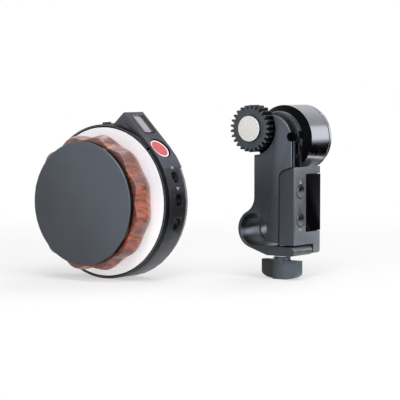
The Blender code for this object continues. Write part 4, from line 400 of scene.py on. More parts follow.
def coated(name, dark, light, roughness, metallic=0.0, depth=0.003 * MM, grain_size=GRAIN, coat=0.0, spread=0.1,
           shine=0.5, slope=None, painted_glow=0.0, share=None):
    """Shine is the share of light that the plain surface mirrors. A slope is an origin, a direction and two
    distances along it, between which the colour goes from dark to light, as painted light and shade. A share is a
    function that paints the same from place to place. The painted glow is emission in the surface's own colour, a
    painted light with no lamp behind it."""
    material, start = new_finish(name)
    place = here(start)
    drift = noise(place, DRIFT, 3.0)
    grain = noise(place, grain_size, 2.0, 0.7)
    drift_and_painted_light = (drift * 0.7 + grain * 0.3).between(0.35, 0.65)
    if slope:
        origin, direction, low, high = slope
        drift_and_painted_light = measured(start, origin, direction).between(low * MM, high * MM) * PAINTED_LIGHT_WEIGHT + drift_and_painted_light * (1 - PAINTED_LIGHT_WEIGHT)
    if share:
        drift_and_painted_light = share(start) * PAINTED_LIGHT_WEIGHT + drift_and_painted_light * (1 - PAINTED_LIGHT_WEIGHT)
    shade = mixed(drift_and_painted_light, tone(*dark), tone(*light))
    surfaced(start, {
        "Base Color": shade,
        "Roughness": roughness + (drift - 0.5) * spread + (grain - 0.5) * spread,
        "Metallic": metallic,
        "Coat Weight": coat,
        "Specular IOR Level": shine,
        "Emission Color": shade,
        "Emission Strength": painted_glow,
        "Normal": bumped(grain, depth),
    })
    return material


def across(start, axis_at, along):
    """The distance from an axis that runs along X, Y or Z through a point."""
    place = here(start)
    keep = [0.0 if axis == along else 1.0 for axis in "XYZ"]
    shifted = start.node("ShaderNodeVectorMath", {"operation": "SUBTRACT"}, {0: place, 1: tuple(axis_at)})
    flat = start.node("ShaderNodeVectorMath", {"operation": "MULTIPLY"}, {0: shifted, 1: tuple(keep)})
    return start.node("ShaderNodeVectorMath", {"operation": "LENGTH"}, {0: flat}, output="Value")


def turned_metal(name, dark, light, roughness, axis_at, along, metallic=1.0, pitch=0.3 * MM, depth=0.0015 * MM):
    """Metal with the fine rings that a lathe leaves round one axis."""
    material, start = new_finish(name)
    away = across(start, axis_at, along)
    drift = noise(here(start), DRIFT, 2.0)
    rings = (away * (math.tau / pitch) + drift * 3.0).sine() * 0.5 + 0.5
    surfaced(start, {
        "Base Color": mixed((rings * 0.5 + drift * 0.5).clipped(), tone(*dark), tone(*light)),
        "Roughness": roughness + (rings - 0.5) * 0.06 + (drift - 0.5) * 0.08,
        "Metallic": metallic,
        "Normal": bumped(rings, depth),
    })
    return material


gloss_black = coated("gloss_black", (7, 7, 9), (11, 11, 13), 0.16, 0.0, 0.001 * MM, spread=0.05, shine=0.2)
glass_black = coated("glass_black", (6, 6, 9), (9, 9, 13), 0.12, 0.0, 0.0005 * MM, spread=0.04, shine=0.03)
matt_black = coated("matt_black", (3, 3, 4), (5, 5, 6), 0.85, shine=0.05)
# Painted light: charcoal grows lighter towards the wheel's upper right.
charcoal = coated("charcoal", (58, 61, 67), (84, 91, 100), 0.46, 0.35, 0.004 * MM,
                  slope=(wheel, (0.85, 0, 0.53), -30, 24))
# Painted light: gunmetal grows lighter towards the top of the motor unit.
gunmetal = coated("gunmetal", (56, 61, 66), (84, 89, 98), 0.42, 0.5, 0.004 * MM,
                  slope=(motor, (0, 0, 1), -30, -2))
# Painted light: the side cover's grey grows lighter towards its bottom.
cover_grey = coated("cover_grey", (99, 105, 113), (146, 149, 159), 0.42, 0.5, 0.004 * MM,
                    slope=(motor, (0, 0, -1), 36, 58))
print("metals and plastics ready")

# %% [markdown]
# Nearly every round piece here was turned on a lathe, so it is modelled as one turns it. One vertex is
# extruded along the outline and then spun round the axis. The spin leaves a seam where it closes, and a
# pole where the outline meets the axis. Merging doubles closes both. A fine bevel breaks each sharp edge,
# because on a real piece a tool does, and that edge is what catches the light.

# %% Turn a piece on the lathe
EDGE_BREAK = 0.12 * MM
LATHE_STEPS = 144
TOUCHING = 0.002 * MM
FLAT_ENOUGH = math.radians(0.5)


def pick(piece):
    """Makes a piece the active one, and the only one selected."""
    clear_selection()
    piece.select_set(True)
    bpy.context.view_layer.objects.active = piece


def face_outwards():
    """Ends an edit with every face turned outwards."""
    bpy.ops.mesh.select_all(action="SELECT")
    bpy.ops.mesh.normals_make_consistent(inside=False)
    bpy.ops.object.mode_set(mode="OBJECT")


def edge_broken(piece, width=EDGE_BREAK, sharp=35):
    """Rounds the sharp edges a little and shades the rest smooth. Hardened normals keep flat faces flat."""
    pick(piece)
    if width:
        bpy.ops.object.shade_smooth()
        bevel = piece.modifiers.new("broken_edges", "BEVEL")
        bevel.width = width
        bevel.segments = 2
        bevel.limit_method = "ANGLE"
        bevel.angle_limit = math.radians(sharp)
        bevel.harden_normals = True
        bpy.ops.object.modifier_apply(modifier=bevel.name)
    else:
        bpy.ops.object.shade_smooth_by_angle(angle=math.radians(sharp))


def turned(name, outline, at, axis=(0, 1, 0), radial=(0, 0, 1), closed=False, steps=LATHE_STEPS,
           width=EDGE_BREAK):
    """Spins an outline of (radius, depth) points, in millimetres, round an axis through a place."""
    axis, radial = Vector(axis), Vector(radial)
    points = [Vector(at) + (radial * out + axis * deep) * MM for out, deep in outline]
    clear_selection()
    bpy.ops.mesh.primitive_plane_add(size=1 * MM, location=(0, 0, 0))
    piece = bpy.context.object
    piece.name = name
    bpy.ops.object.mode_set(mode="EDIT")
    bpy.ops.mesh.select_all(action="SELECT")
    bpy.ops.mesh.merge(type="CENTER")
    bpy.ops.transform.translate(value=points[0])
    for before, after in zip(points, points[1:] + points[:1] * closed):
        bpy.ops.mesh.extrude_region_move(TRANSFORM_OT_translate={"value": after - before})
    bpy.ops.mesh.select_all(action="SELECT")
    bpy.ops.mesh.remove_doubles(threshold=TOUCHING)
    bpy.ops.mesh.spin(steps=steps, angle=math.tau, center=at, axis=axis)
    bpy.ops.mesh.select_all(action="SELECT")
    bpy.ops.mesh.remove_doubles(threshold=TOUCHING)
    face_outwards()
    edge_broken(piece, width)
    return piece


def stand_in(piece, *names):
    """Lets a new piece stand for solids: it rides on their body, and the solids are hidden."""
    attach(piece, body_of_node[names[0]])
    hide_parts(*names)


def painted(piece, base, *layers):
    """Gives a piece its materials: a base, and further ones on faces chosen by their place and normal."""
    piece.data.materials.clear()
    piece.data.materials.append(base)
    for index, (material, chosen) in enumerate(layers, 1):
        piece.data.materials.append(material)
        for face in piece.data.polygons:
            if chosen(face.center, face.normal):
                face.material_index = index


def cut(piece, tool):
    """Takes a tool's shape out of a piece, and the tool away."""
    cutting = piece.modifiers.new("cut", "BOOLEAN")
    cutting.object = tool
    cutting.solver = "EXACT"
    pick(piece)
    bpy.ops.object.modifier_apply(modifier=cutting.name)
    bpy.data.objects.remove(tool)


def from_solid(name, width=EDGE_BREAK, sharp=30, tools=()):
    """A copy of a solid with its loose triangles merged, its edges broken and its curves shaded smooth."""
    piece = bpy.data.objects.new(name + "_finished", nodes[name].data.copy())
    bpy.context.scene.collection.objects.link(piece)
    pick(piece)
    bpy.ops.object.mode_set(mode="EDIT")
    bpy.ops.mesh.select_all(action="SELECT")
    bpy.ops.mesh.remove_doubles(threshold=TOUCHING)
    bpy.ops.mesh.dissolve_limited(angle_limit=FLAT_ENOUGH)
    bpy.ops.object.mode_set(mode="OBJECT")
    for tool in tools:
        cut(piece, tool)
    edge_broken(piece, width, sharp)
    stand_in(piece, name)
    return piece


print("the lathe turns in", LATHE_STEPS, "steps")

# %% [markdown]
# The knob's cap is a thin turned disc, satin on its face and polished on its side. Its face is painted lighter
# towards the upper right, as painted light. Its bevelled edge shows as a fine bright line at the right.

# %% The knob's cap
FACES_FRONT = -0.6
cap_outline = [(0, -17.5), (28.7, -17.5), (29.2, -17.0), (29.2, -14.7), (24, -14.7), (24, -13.1), (0, -13.1)]
knob_cap = turned("cap", cap_outline, wheel, width=0.08 * MM)
cap_face = wheel.y - 16.9 * MM
painted(knob_cap, gloss_black, (charcoal, lambda at, normal: at.y < cap_face and normal.y < FACES_FRONT))
stand_in(knob_cap, "knob_cap")
print("cap", len(knob_cap.data.polygons), "faces")

# %% [markdown]
# The grip is a barrel of red-brown hardwood with soft lobes for the fingers. It swells from the cap to a belly
# at about two fifths of its depth, and then draws in towards the disc. It is turned as a plain barrel first,
# and then each vertex of its outer wall is pushed in by a wave round the axis. The wave is deepest a little in
# front of the belly and fades towards both ends.

# %% The wooden grip's shape
GRIP_FRONT, GRIP_BACK = -14.4, -0.6
GRIP_NARROW, GRIP_SWELL, GRIP_DRAW = 31.6, 1.1, 3.9
SWELL_AT = 0.38
DRAW_POWER = 2.0
LOBES = 12
LOBE_DEPTH = 2.5
LOBE_TURN = math.radians(17)
HOLLOWS_FADE_FROM, HOLLOWS_FADE_TO = 0.1, 1.0
HOLLOWS_AT_FRONT = 0.7
HOLLOWS_LEFT = 0.3
GRIP_RINGS = 22
OUTER_WALL = 26 * MM


def swelling(along):
    """How far the barrel has swollen, from 0 at its front to 1 at its belly and beyond."""
    return math.sin(min(along, SWELL_AT) / SWELL_AT * math.pi / 2)


def hollowing(along):
    """How much of the hollows' depth there is: it grows with the swelling and fades smoothly to the back."""
    past = min(max((along - HOLLOWS_FADE_FROM) / (HOLLOWS_FADE_TO - HOLLOWS_FADE_FROM), 0), 1)
    grown = HOLLOWS_AT_FRONT + (1 - HOLLOWS_AT_FRONT) * swelling(max(0, along))
    return (1 - (1 - HOLLOWS_LEFT) * past * past * (3 - 2 * past)) * grown


def grip_radius(along):
    """The barrel's radius from its front, 0, to its back, 1."""
    past = max(0, along - SWELL_AT) / (1 - SWELL_AT)
    return GRIP_NARROW + GRIP_SWELL * swelling(along) - GRIP_DRAW * past**DRAW_POWER


grip_outline = [(1.8, -10.6), (3.7, -10.6), (3.7, -12.8), (24.3, -12.8), (24.3, GRIP_FRONT)]
for ring in range(GRIP_RINGS + 1):
    along = ring / GRIP_RINGS
    grip_outline.append((grip_radius(along), GRIP_FRONT + (GRIP_BACK - GRIP_FRONT) * along))
grip_outline += [(6.3, GRIP_BACK), (6.3, -8.9), (1.8, -8.9)]
grip = turned("grip", grip_outline, wheel, closed=True, steps=264, width=0)
for vertex in grip.data.vertices:
    out = Vector((vertex.co.x - wheel.x, 0, vertex.co.z - wheel.z))
    if out.length > OUTER_WALL:
        along = ((vertex.co.y - wheel.y) / MM - GRIP_FRONT) / (GRIP_BACK - GRIP_FRONT)
        turn = math.atan2(out.z, out.x)
        hollow = (1 - math.cos(LOBES * (turn - LOBE_TURN))) / 2
        vertex.co -= out.normalized() * LOBE_DEPTH * MM * hollowing(along) * hollow
edge_broken(grip, 0.3 * MM, 50)
stand_in(grip, "wooden_grip")
print("grip", len(grip.data.polygons), "faces")

# %% [markdown]
# Polished rosewood runs from orange brown to near black. Its grain follows the tree's growth rings, which
# the carving cuts across, so the streaks wander over the lobes. The rings are a wave of heights in the slab,
# bent by noise. Fine pores run along the same direction. A clear lacquer lies over all of it, which gives the
# soft white highlights. It is thicker on the upper side than below.

# %% The wood's finish
WOOD_TILT = (0.25, 0.45, 0.3)
ALONG_GRAIN = 0.06
GROWTH_STEP = 2.6 * MM


def grain_place(start, squeeze):
    """The place in the slab, squeezed along the grain so that what varies there is drawn out into streaks."""
    return placed(start, wheel, (1.0, squeeze, 1.0), WOOD_TILT)


rosewood, start = new_finish("rosewood")
bend = noise(grain_place(start, 0.45), 7 * MM, 3.0, 0.6)
level = start.node("ShaderNodeSeparateXYZ", {}, {"Vector": grain_place(start, 0.3)}, output="Z")
growth = ((level / GROWTH_STEP + bend * 3.2) * math.tau).sine() * 0.5 + 0.5
streaks = noise(grain_place(start, ALONG_GRAIN), 1.1 * MM, 4.0, 0.65)
pores = noise(grain_place(start, 0.12), 0.3 * MM, 2.0, 0.6)
patches = noise(grain_place(start, 0.6), 8 * MM, 3.0, 0.6)
figure = noise(placed(start, wheel), 3.2 * MM, 3.0, 0.6)
hue = (patches * 0.75 + figure * 0.25).between(0.46, 0.6)
plain_wood = mixed(hue, tone(128, 78, 70), tone(178, 90, 58))
dark_share = (growth * 0.22 + streaks * 1.0 + figure * 0.18).between(0.6, 0.9) * 0.8
grained = mixed(dark_share, plain_wood, tone(78, 44, 40))
coloured = mixed(pores.between(0.6, 0.75) * 0.45, grained, tone(66, 38, 35))
upper = measured(start, wheel, (0, 0, 1)).between(-22 * MM, 20 * MM)
surfaced(start, {
    "Base Color": coloured,
    "Roughness": 0.34 + dark_share * 0.1 + (streaks - 0.5) * 0.1,
    "Coat Weight": 0.2 + patches * 0.15 + upper * 0.65,
    "Coat Roughness": 0.34,
    "Normal": bumped(streaks, 0.004 * MM, 0.5),
})
painted(grip, rosewood)
print("rosewood with dark growth lines about", GROWTH_STEP / MM, "mm apart")

# %% [markdown]
# Behind the grip lies a white disc that an operator writes focus marks on. It is a thin ring of satin
# acetal, painted lighter towards its bottom and given a painted glow. A black ring frames it. The ring has one
# fine lip between two dark edges, painted bright as a painted highlight, and a small notch across it is the index
# that marks are read against.

# %% The marking disc and its frame
# Painted light: the disc grows lighter towards its bottom, and a painted glow lifts all of it.
white_acetal = coated("white_acetal", (226, 229, 234), (251, 252, 253), 0.42, 0.0, 0.002 * MM,
                      spread=0.06, painted_glow=0.36, slope=(wheel, (0, 0, -1), -16, 26))
disc = turned("disc", [(6.3, -0.3), (35.3, -0.3), (35.3, 0.9), (6.3, 0.9)], wheel, closed=True, width=0.1 * MM)
painted(disc, white_acetal)
stand_in(disc, "marking_disc")

ring_outline = [(35.6, 0), (35.95, 0), (36.05, 0.25), (36.4, 0.25), (36.5, 0), (36.7, 0.1), (36.8, 0.4),
                (36.8, 2.2), (36.2, 2.2), (36.2, 2.7), (35.6, 2.7)]
frame_ring = turned("frame_ring", ring_outline, wheel, closed=True, width=0.05 * MM)
print("disc and ring", len(disc.data.polygons) + len(frame_ring.data.polygons), "faces")

# %% [markdown]
# The notch is cut by a small block. The same helper will shape the hood's window, so it takes a function
# that says where each of the eight corners goes. The lip's painted highlight is a band of distances from the
# axis.

# %% The index notch and the lip's painted highlight
INDEX_TURN = math.radians(44.8)
NOTCH_OUT, NOTCH_REACH = 36.55, 0.9
NOTCH_MIDDLE, NOTCH_DEPTH = 1.0, 1.2
NOTCH_SIDE = 0.6
LIP_FROM, LIP_TO = (36.0, 36.1), (36.45, 36.55)
LIP_DEPTH = (0.4, 0.6)


def on_wheel(turn, out, deep):
    """A place by its angle round the wheel, distance from the axis and depth, both in millimetres."""
    return wheel + Vector((math.cos(turn) * out, deep, math.sin(turn) * out)) * MM


def block(name, corner):
    """A block whose corners go where a function of their three signs puts them."""
    clear_selection()
    bpy.ops.mesh.primitive_cube_add(size=1 * MM, location=(0, 0, 0))
    made = bpy.context.object
    made.name = name
    for vertex in made.data.vertices:
        vertex.co = corner(*(1 if part > 0 else -1 for part in vertex.co))
    return made


def notch_corner(outer, deeper, aside):
    sideways = Vector((-math.sin(INDEX_TURN), 0, math.cos(INDEX_TURN)))
    at = on_wheel(INDEX_TURN, NOTCH_OUT + outer * NOTCH_REACH, NOTCH_MIDDLE + deeper * NOTCH_DEPTH)
    return at + sideways * aside * NOTCH_SIDE * MM


cut(frame_ring, block("notch_tool", notch_corner))


def band(link, rise, fall):
    """Climbs from 0 to 1 over one span of a distance, and falls back over another, both in millimetres."""
    return link.between(rise[0] * MM, rise[1] * MM) - link.between(fall[0] * MM, fall[1] * MM)


def lip_painted_highlight(start):
    """1 on the lip, where a painted highlight lies between two dark edges, and 0 elsewhere."""
    deep = measured(start, wheel, (0, 1, 0))
    front_only = 1 - deep.between(LIP_DEPTH[0] * MM, LIP_DEPTH[1] * MM)
    return band(across(start, wheel, "Y"), LIP_FROM, LIP_TO) * front_only


# The lip is painted light grey on the black ring, as a painted highlight.
ring_black, start = new_finish("ring_black")
surfaced(start, {
    "Base Color": mixed(lip_painted_highlight(start), tone(8, 8, 11), tone(124, 130, 138)),
    "Roughness": 0.26 + noise(here(start), DRIFT) * 0.06,
    "Specular IOR Level": 0.15,
})
painted(frame_ring, ring_black)
stand_in(frame_ring, "front_ring")
print("notched ring", len(frame_ring.data.polygons), "faces")

# %% [markdown]
# The hood's flat facet faces up and to the right. The display's window and the record key both lie on it, so
# its direction, its distance from the wheel's axis and the window's middle are found first.

# %% Where the hood's facet lies
FACET_TURN = math.radians(45)
PANE_WIDE, PANE_LONG, PANE_CORNER = 8.0, 11.7, 1.1

facet_out = Vector((math.cos(FACET_TURN), 0, math.sin(FACET_TURN)))
facet_down = Vector((facet_out.z, 0, -facet_out.x))
facet_at = max((vertex.co - wheel).dot(facet_out) for vertex in nodes["wheel_housing"].data.vertices)
pane_down = (middle("display_window") - wheel).dot(facet_down)
pane_middle = wheel + facet_out * facet_at + facet_down * pane_down
pane_middle.y = front("display_window") + PANE_WIDE / 2 * MM
print("facet", round(facet_at / MM, 2), "mm from the axis, window", round(pane_down / MM, 2), "mm down it")

# %% [markdown]
# The window and the record key each sit in a room cut into the facet, painted black inside as painted shade, so
# that a dark line frames them. The window's room is a plate with round corners, and the key's is a round
# drilling.

# %% Room for the window and the record key
POCKET_ROOM, POCKET_DEPTH = 0.15, 0.8
RECORD_ROOM, ROOM_DEPTH, ROOM_SHIFT = 5.75, 1.2, 0.35


def facet_plate(name, room, bottom, top, corner):
    """A plate with round corners on the facet: its extra room, and its bottom and top above the facet."""
    def place(lower, behind, above):
        return (pane_middle + facet_out * MM * (top if above > 0 else bottom)
                + Vector((0, behind * (PANE_WIDE / 2 + room) * MM, 0))
                + facet_down * lower * (PANE_LONG / 2 + room) * MM)

    plate = block(name, place)
    bpy.ops.object.mode_set(mode="EDIT")
    bpy.ops.mesh.select_all(action="DESELECT")
    bpy.ops.object.mode_set(mode="OBJECT")
    for edge in plate.data.edges:
        first, second = (plate.data.vertices[index].co for index in edge.vertices)
        edge.select = abs((first - second).normalized().dot(facet_out)) > 0.99
    bpy.ops.object.mode_set(mode="EDIT")
    bpy.ops.mesh.bevel(offset=corner * MM, segments=5)
    face_outwards()
    return plate


def drill(at, radius, depth, rotation, sides):
    """A round tool whose middle lies at a place."""
    clear_selection()
    bpy.ops.mesh.primitive_cylinder_add(vertices=sides, radius=radius * MM, depth=depth * MM, location=at,
                                        rotation=rotation)
    bpy.ops.object.transform_apply()
    return bpy.context.object


pocket = facet_plate("pocket_tool", POCKET_ROOM, -POCKET_DEPTH, 1.0, PANE_CORNER + POCKET_ROOM)
record_at = middle("record_button_rim")
record_at += facet_out * (facet_at - (record_at - wheel).dot(facet_out)) + Vector((0, ROOM_SHIFT * MM, 0))
record_room = drill(record_at, RECORD_ROOM, 2 * ROOM_DEPTH, (0, math.pi / 2 - FACET_TURN, 0), 72)
print("rooms", POCKET_DEPTH, "and", ROOM_DEPTH, "mm deep")

# %% [markdown]
# The housing is machined from aluminium: a round rim with a flat hood. Its rim is dyed black and painted lighter
# above and below the lower keys, as painted light. The hood's facet is a slate grey, painted lighter towards its
# lower side, and the rooms are painted black inside, as painted shade. The solid's shape is right, so the piece
# is a copy of it with finer edges. A coarse polygon would show at the rim, so the copy's curves are shaded
# smooth.

# %% The housing and its back cover
ROOM_FROM, FLOOR_FROM = 0.15 * MM, 0.7 * MM
SLACK = 0.1


def rim_painted_light(start):
    """How light the rim is painted: least at the height of the lower keys, and more above and below, as painted
    light.
    """
    height = measured(start, wheel, (0, 0, 1))
    return height.between(-5 * MM, 19 * MM) + (height * -1.0).between(5 * MM, 32 * MM)


def on_facet(at, normal):
    return normal.dot(facet_out) > 0.97


def in_rooms_painted_shade(at, normal):
    """The walls and floors of the window's pocket and of the room round the record key, painted black as painted
    shade.
    """
    deep = facet_at - (at - wheel).dot(facet_out)
    inside = deep > ROOM_FROM and (normal.dot(facet_out) < 0.6 or deep > FLOOR_FROM)
    aside = at - record_at
    by_key = (aside - facet_out * aside.dot(facet_out)).length < (RECORD_ROOM + SLACK) * MM
    aside = at - pane_middle
    by_pane = (abs(aside.y) < (PANE_WIDE / 2 + POCKET_ROOM + SLACK) * MM
               and abs(aside.dot(facet_down)) < (PANE_LONG / 2 + POCKET_ROOM + SLACK) * MM)
    return inside and (by_key or by_pane)


# Painted light: the rim grows lighter above and below the lower keys.
rim_metal = coated("rim_metal", (24, 26, 29), (78, 80, 88), 0.4, 0.55, 0.004 * MM, share=rim_painted_light)
# Painted light: the facet grows lighter towards its lower side.
facet_grey = coated("facet_grey", (64, 66, 72), (86, 89, 99), 0.4, 0.5, 0.004 * MM,
                    slope=(wheel, (0.707, 0, -0.707), -18, 6))
housing = from_solid("wheel_housing", 0.1 * MM, tools=(pocket, record_room))
painted(housing, rim_metal, (facet_grey, on_facet), (matt_black, in_rooms_painted_shade))
cover = from_solid("back_cover", 0.1 * MM)
pale_silver = coated("pale_silver", (142, 143, 146), (152, 153, 156), 0.35, 0.3, 0.003 * MM)
painted(cover, pale_silver)
print("housing", len(housing.data.polygons), "faces")

# %% [markdown]
# The display's pane looks slate lavender while it is off. It lies a little below the facet, in its room. A
# black border of painted shade lies on the glass along its back and lower sides.

# %% The display's window
PANE_TOP, PANE_BOTTOM = -0.25, -0.7
BORDER = 0.5 * MM
BORDER_BLEND = 0.1 * MM

window = facet_plate("window", 0.0, PANE_BOTTOM, PANE_TOP, PANE_CORNER)
edge_broken(window, 0.05 * MM)


def pane_painted_shade(start):
    """0 in the pane, and 1 in its black border of painted shade."""
    behind = measured(start, pane_middle, (0, 1, 0))
    below = measured(start, pane_middle, facet_down)
    edge_behind, edge_below = PANE_WIDE / 2 * MM - BORDER, PANE_LONG / 2 * MM - BORDER
    return (behind.between(edge_behind, edge_behind + BORDER_BLEND)
            + below.between(edge_below, edge_below + BORDER_BLEND)).clipped()


pane_glass, start = new_finish("pane_glass")
surfaced(start, {
    "Base Color": mixed(pane_painted_shade(start), tone(158, 154, 163), tone(8, 8, 10)),
    "Roughness": 0.3 + noise(here(start), DRIFT) * 0.06,
    "Specular IOR Level": 0.25,
})
painted(window, pane_glass)
stand_in(window, "display_window")
print("window", len(window.data.polygons), "faces")

# %% [markdown]
# The record key is a low red dome in a pale rim. The three round keys are gloss black, sunk in the rim, and
# dished for the fingertip. All are turned, each about an axis of its own that points out from the wheel's.

# %% The hand wheel's keys
def key_axis(turn, deep):
    """A key's foot on the wheel's axis, and the direction that it faces."""
    return on_wheel(turn, 0, deep), Vector((math.cos(turn), 0, math.sin(turn)))


RECORD_TURN, RECORD_DEEP = math.radians(44.8), 9.6
KEY_DEEP = 10.1
ROUND_KEYS = {"up_button": 19.7, "down_button": 2.4, "set_button": -15.6}

record_red = coated("record_red", (200, 72, 78), (208, 82, 87), 0.3, 0.0, 0.001 * MM, coat=0.3, spread=0.05)
rim_white = coated("rim_white", (243, 216, 217), (247, 224, 225), 0.4, 0.0, 0.001 * MM, spread=0.05)
foot, out = key_axis(RECORD_TURN, RECORD_DEEP)
record_outline = [(0, 36.35), (4.2, 36.3), (4.35, 36.15), (4.35, 35.8), (5.3, 35.8), (5.3, 35.4), (1.7, 35.4),
                  (1.7, 33.3), (0, 33.3)]
record_key = turned("record_key", record_outline, foot, out, (0, 1, 0), steps=72, width=0.08 * MM)
painted(record_key, record_red)
stand_in(record_key, "record_button")
rim_outline = [(4.45, 36.1), (5.3, 36.1), (5.3, 36.25), (5.15, 36.4), (4.6, 36.4), (4.45, 36.3)]
record_rim = turned("record_rim", rim_outline, foot, out, (0, 1, 0), closed=True, steps=72, width=0.04 * MM)
painted(record_rim, rim_white)
stand_in(record_rim, "record_button_rim")

key_outline = [(0, 35.75), (0.7, 35.8), (1.3, 35.95), (1.8, 36.15), (2.0, 36.15), (2.2, 35.95), (2.2, 35.5),
               (2.6, 35.5), (2.6, 35.3), (1, 35.3), (1, 33.2), (0, 33.2)]
for name, degrees in ROUND_KEYS.items():
    foot, out = key_axis(math.radians(degrees), KEY_DEEP)
    key = turned(name.replace("button", "key"), key_outline, foot, out, (0, 1, 0), steps=48, width=0.08 * MM)
    painted(key, gloss_black)
    stand_in(key, name)
print("keys:", 2 + len(ROUND_KEYS))

# %% [markdown]
# Small pale arrows are printed beside the keys that count up and down. A print is a film of paint, so each
# arrow is a triangle with hardly any thickness, laid on its surface. Their shape says up and down in any
# language.

# %% Arrows beside the keys
ARROW_BASE = 2.7
ARROW_HEIGHT = 1.7
PRINT_THICKNESS = 0.04 * MM
PRINT_SUNK = 0.01 * MM
RIM_RADIUS = 36.77
print_grey = coated("print_grey", (140, 144, 150), (150, 154, 160), 0.5, 0.0, 0.001 * MM, spread=0.06)


def arrow(name, at, out, tip):
    """A printed triangle: its middle, the direction its surface faces, and the direction it points in."""
    clear_selection()
    bpy.ops.mesh.primitive_circle_add(vertices=3, radius=1 * MM, fill_type="NGON", location=(0, 0, 0))
    piece = bpy.context.object
    piece.name = name
    up, aside = tip * (ARROW_HEIGHT / 2), tip.cross(out) * (ARROW_BASE / 2)
    for vertex, corner in zip(piece.data.vertices, (up, aside - up, -aside - up)):
        vertex.co = at + corner * MM
    bpy.ops.object.mode_set(mode="EDIT")
    bpy.ops.mesh.select_all(action="SELECT")
    bpy.ops.mesh.extrude_region_move(TRANSFORM_OT_translate={"value": out * PRINT_THICKNESS})
    face_outwards()
    painted(piece, print_grey)
    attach(piece, "fixed_frame")
    return piece


def rim_arrow(name, degrees, pointing):
    turn = math.radians(degrees)
    out = Vector((math.cos(turn), 0, math.sin(turn)))
    up = Vector((-math.sin(turn), 0, math.cos(turn)))
    return arrow(name, on_wheel(turn, RIM_RADIUS, KEY_DEEP), out, up * pointing)


SIDE_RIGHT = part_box("side_cover")[1].x
SIDE_KEY_HEIGHTS = {"motor_plus_button": -25.0, "motor_minus_button": -38.5}
SIDE_KEY_DEEP = 6.0
ARROW_FROM_KEY = 4.7


def side_arrow(name, height, pointing):
    at = motor + Vector((0, SIDE_KEY_DEEP, height)) * MM
    at.x = SIDE_RIGHT - PRINT_SUNK
    return arrow(name, at, Vector((1, 0, 0)), Vector((0, 0, pointing)))


arrows = [
    rim_arrow("rim_arrow_up", 27.6, 1), rim_arrow("rim_arrow_down", 10.7, -1),
    side_arrow("side_arrow_up", SIDE_KEY_HEIGHTS["motor_plus_button"] + ARROW_FROM_KEY, 1),
    side_arrow("side_arrow_down", SIDE_KEY_HEIGHTS["motor_minus_button"] - ARROW_FROM_KEY, -1),
]
print(len(arrows), "arrows")

# %% [markdown]
# The motor sits in a turned drum. Its face is a black cone, and its barrel is polished and dyed lightly, so
# it mirrors the studio in long soft bands. The rings that the tool left run round the drum's axis. A thin
# groove near the back shows where the cap closes it, and three screws sit in drillings in the cap.

# %% The drum
CONE_FACES = -0.3
CAP_BACK = 29.4
CAP_SCREW_CIRCLE, CAP_SCREW_ROOM, CAP_SCREW_TURNS = 11.0, 1.8, (90, 210, 330)
DRILL_DEPTH = 2.6

drum_metal = turned_metal("drum_metal", (196, 198, 206), (206, 208, 216), 0.2, motor, "Y", pitch=0.5 * MM)
cone_black = coated("cone_black", (4, 4, 6), (7, 7, 10), 0.4, 0.0, 0.001 * MM, spread=0.05, shine=0.02)
case_outline = [(1.9, 7.8), (13.1, 7.8), (15.8, 11.4), (15.8, 26.4), (14.8, 26.4), (14.8, 11.7), (12.1, 9),
                (1.9, 9)]
drum = turned("drum", case_outline, motor, closed=True, width=0.12 * MM)
painted(drum, drum_metal, (cone_black, lambda at, normal: normal.y < CONE_FACES))
stand_in(drum, "drum_case")
back_outline = [(0, 28), (3.3, 28), (3.3, 26.7), (4.3, 26.7), (4.3, 27.7), (13.5, 27.7), (13.5, 25.7),
                (14.5, 25.7), (14.5, 27.1), (15.8, 27.1), (15.8, 28.6), (15, CAP_BACK), (0, CAP_BACK)]
drum_back = turned("drum_back", back_outline, motor, width=0.1 * MM)
for degrees in CAP_SCREW_TURNS:
    turn = math.radians(degrees)
    out = Vector((math.cos(turn) * CAP_SCREW_CIRCLE, CAP_BACK, math.sin(turn) * CAP_SCREW_CIRCLE)) * MM
    cut(drum_back, drill(motor + out, CAP_SCREW_ROOM, DRILL_DEPTH, (math.pi / 2, 0, 0), 32))
painted(drum_back, drum_metal)
stand_in(drum_back, "drum_cap")
print("drum", len(drum.data.polygons) + len(drum_back.data.polygons), "faces")

# %% [markdown]
# The motor unit's body is one milled plate. Its front is satin, painted lighter towards the top as painted light.
# The wall of its round neck is painted black as a painted dark reflection, with a painted highlight along its
# front edge, and a collar, painted a darker tone as painted shade, leads from the neck to the drum. The rod
# clamp's bore is bored smooth, with a painted reflection along its lower half. The pockets for the locating pin
# and the gear are painted black inside, as painted shade. Each face of the copy gets its finish by where it is
# and which way it points.

# %% The motor unit's body
# The collar is painted a darker tone of the body's metal, as painted shade.
collar_painted_shade = coated("collar_painted_shade", (45, 50, 56), (54, 60, 66), 0.4, 0.5, 0.002 * MM, spread=0.05)
bore = motor + Vector((-9.9, 0, -43.3)) * MM
pin_notch = motor + Vector((11.3, 0, 1.1)) * MM
BORE_LIGHT_FROM, BORE_LIGHT_TO = (0.5, 3), (3.5, 5.5)
BEHIND_FRONT = 0.3
BORE_RADIUS, NOTCH_RADIUS, RECESS_RADIUS = 7.9, 2.45, 12.8


def bore_painted_reflection(start):
    """How light the bore is painted: a painted reflection of the pale floor, as one band along its lower half."""
    return band(measured(start, bore, (-0.2, 0, -0.98)), BORE_LIGHT_FROM, BORE_LIGHT_TO)


# The bore's light band is a painted reflection of the floor.
bore_metal = coated("bore_metal", (40, 42, 45), (168, 175, 188), 0.3, 0.6, 0.001 * MM, spread=0.05,
                    share=bore_painted_reflection)


def from_axis(at, axis_at):
    return math.hypot(at.x - axis_at.x, at.z - axis_at.z) / MM


def depth_in(at):
    return (at.y - motor.y) / MM


def is_wall(normal):
    """Whether a face points aside, not to the front or back."""
    return abs(normal.y) < 0.5


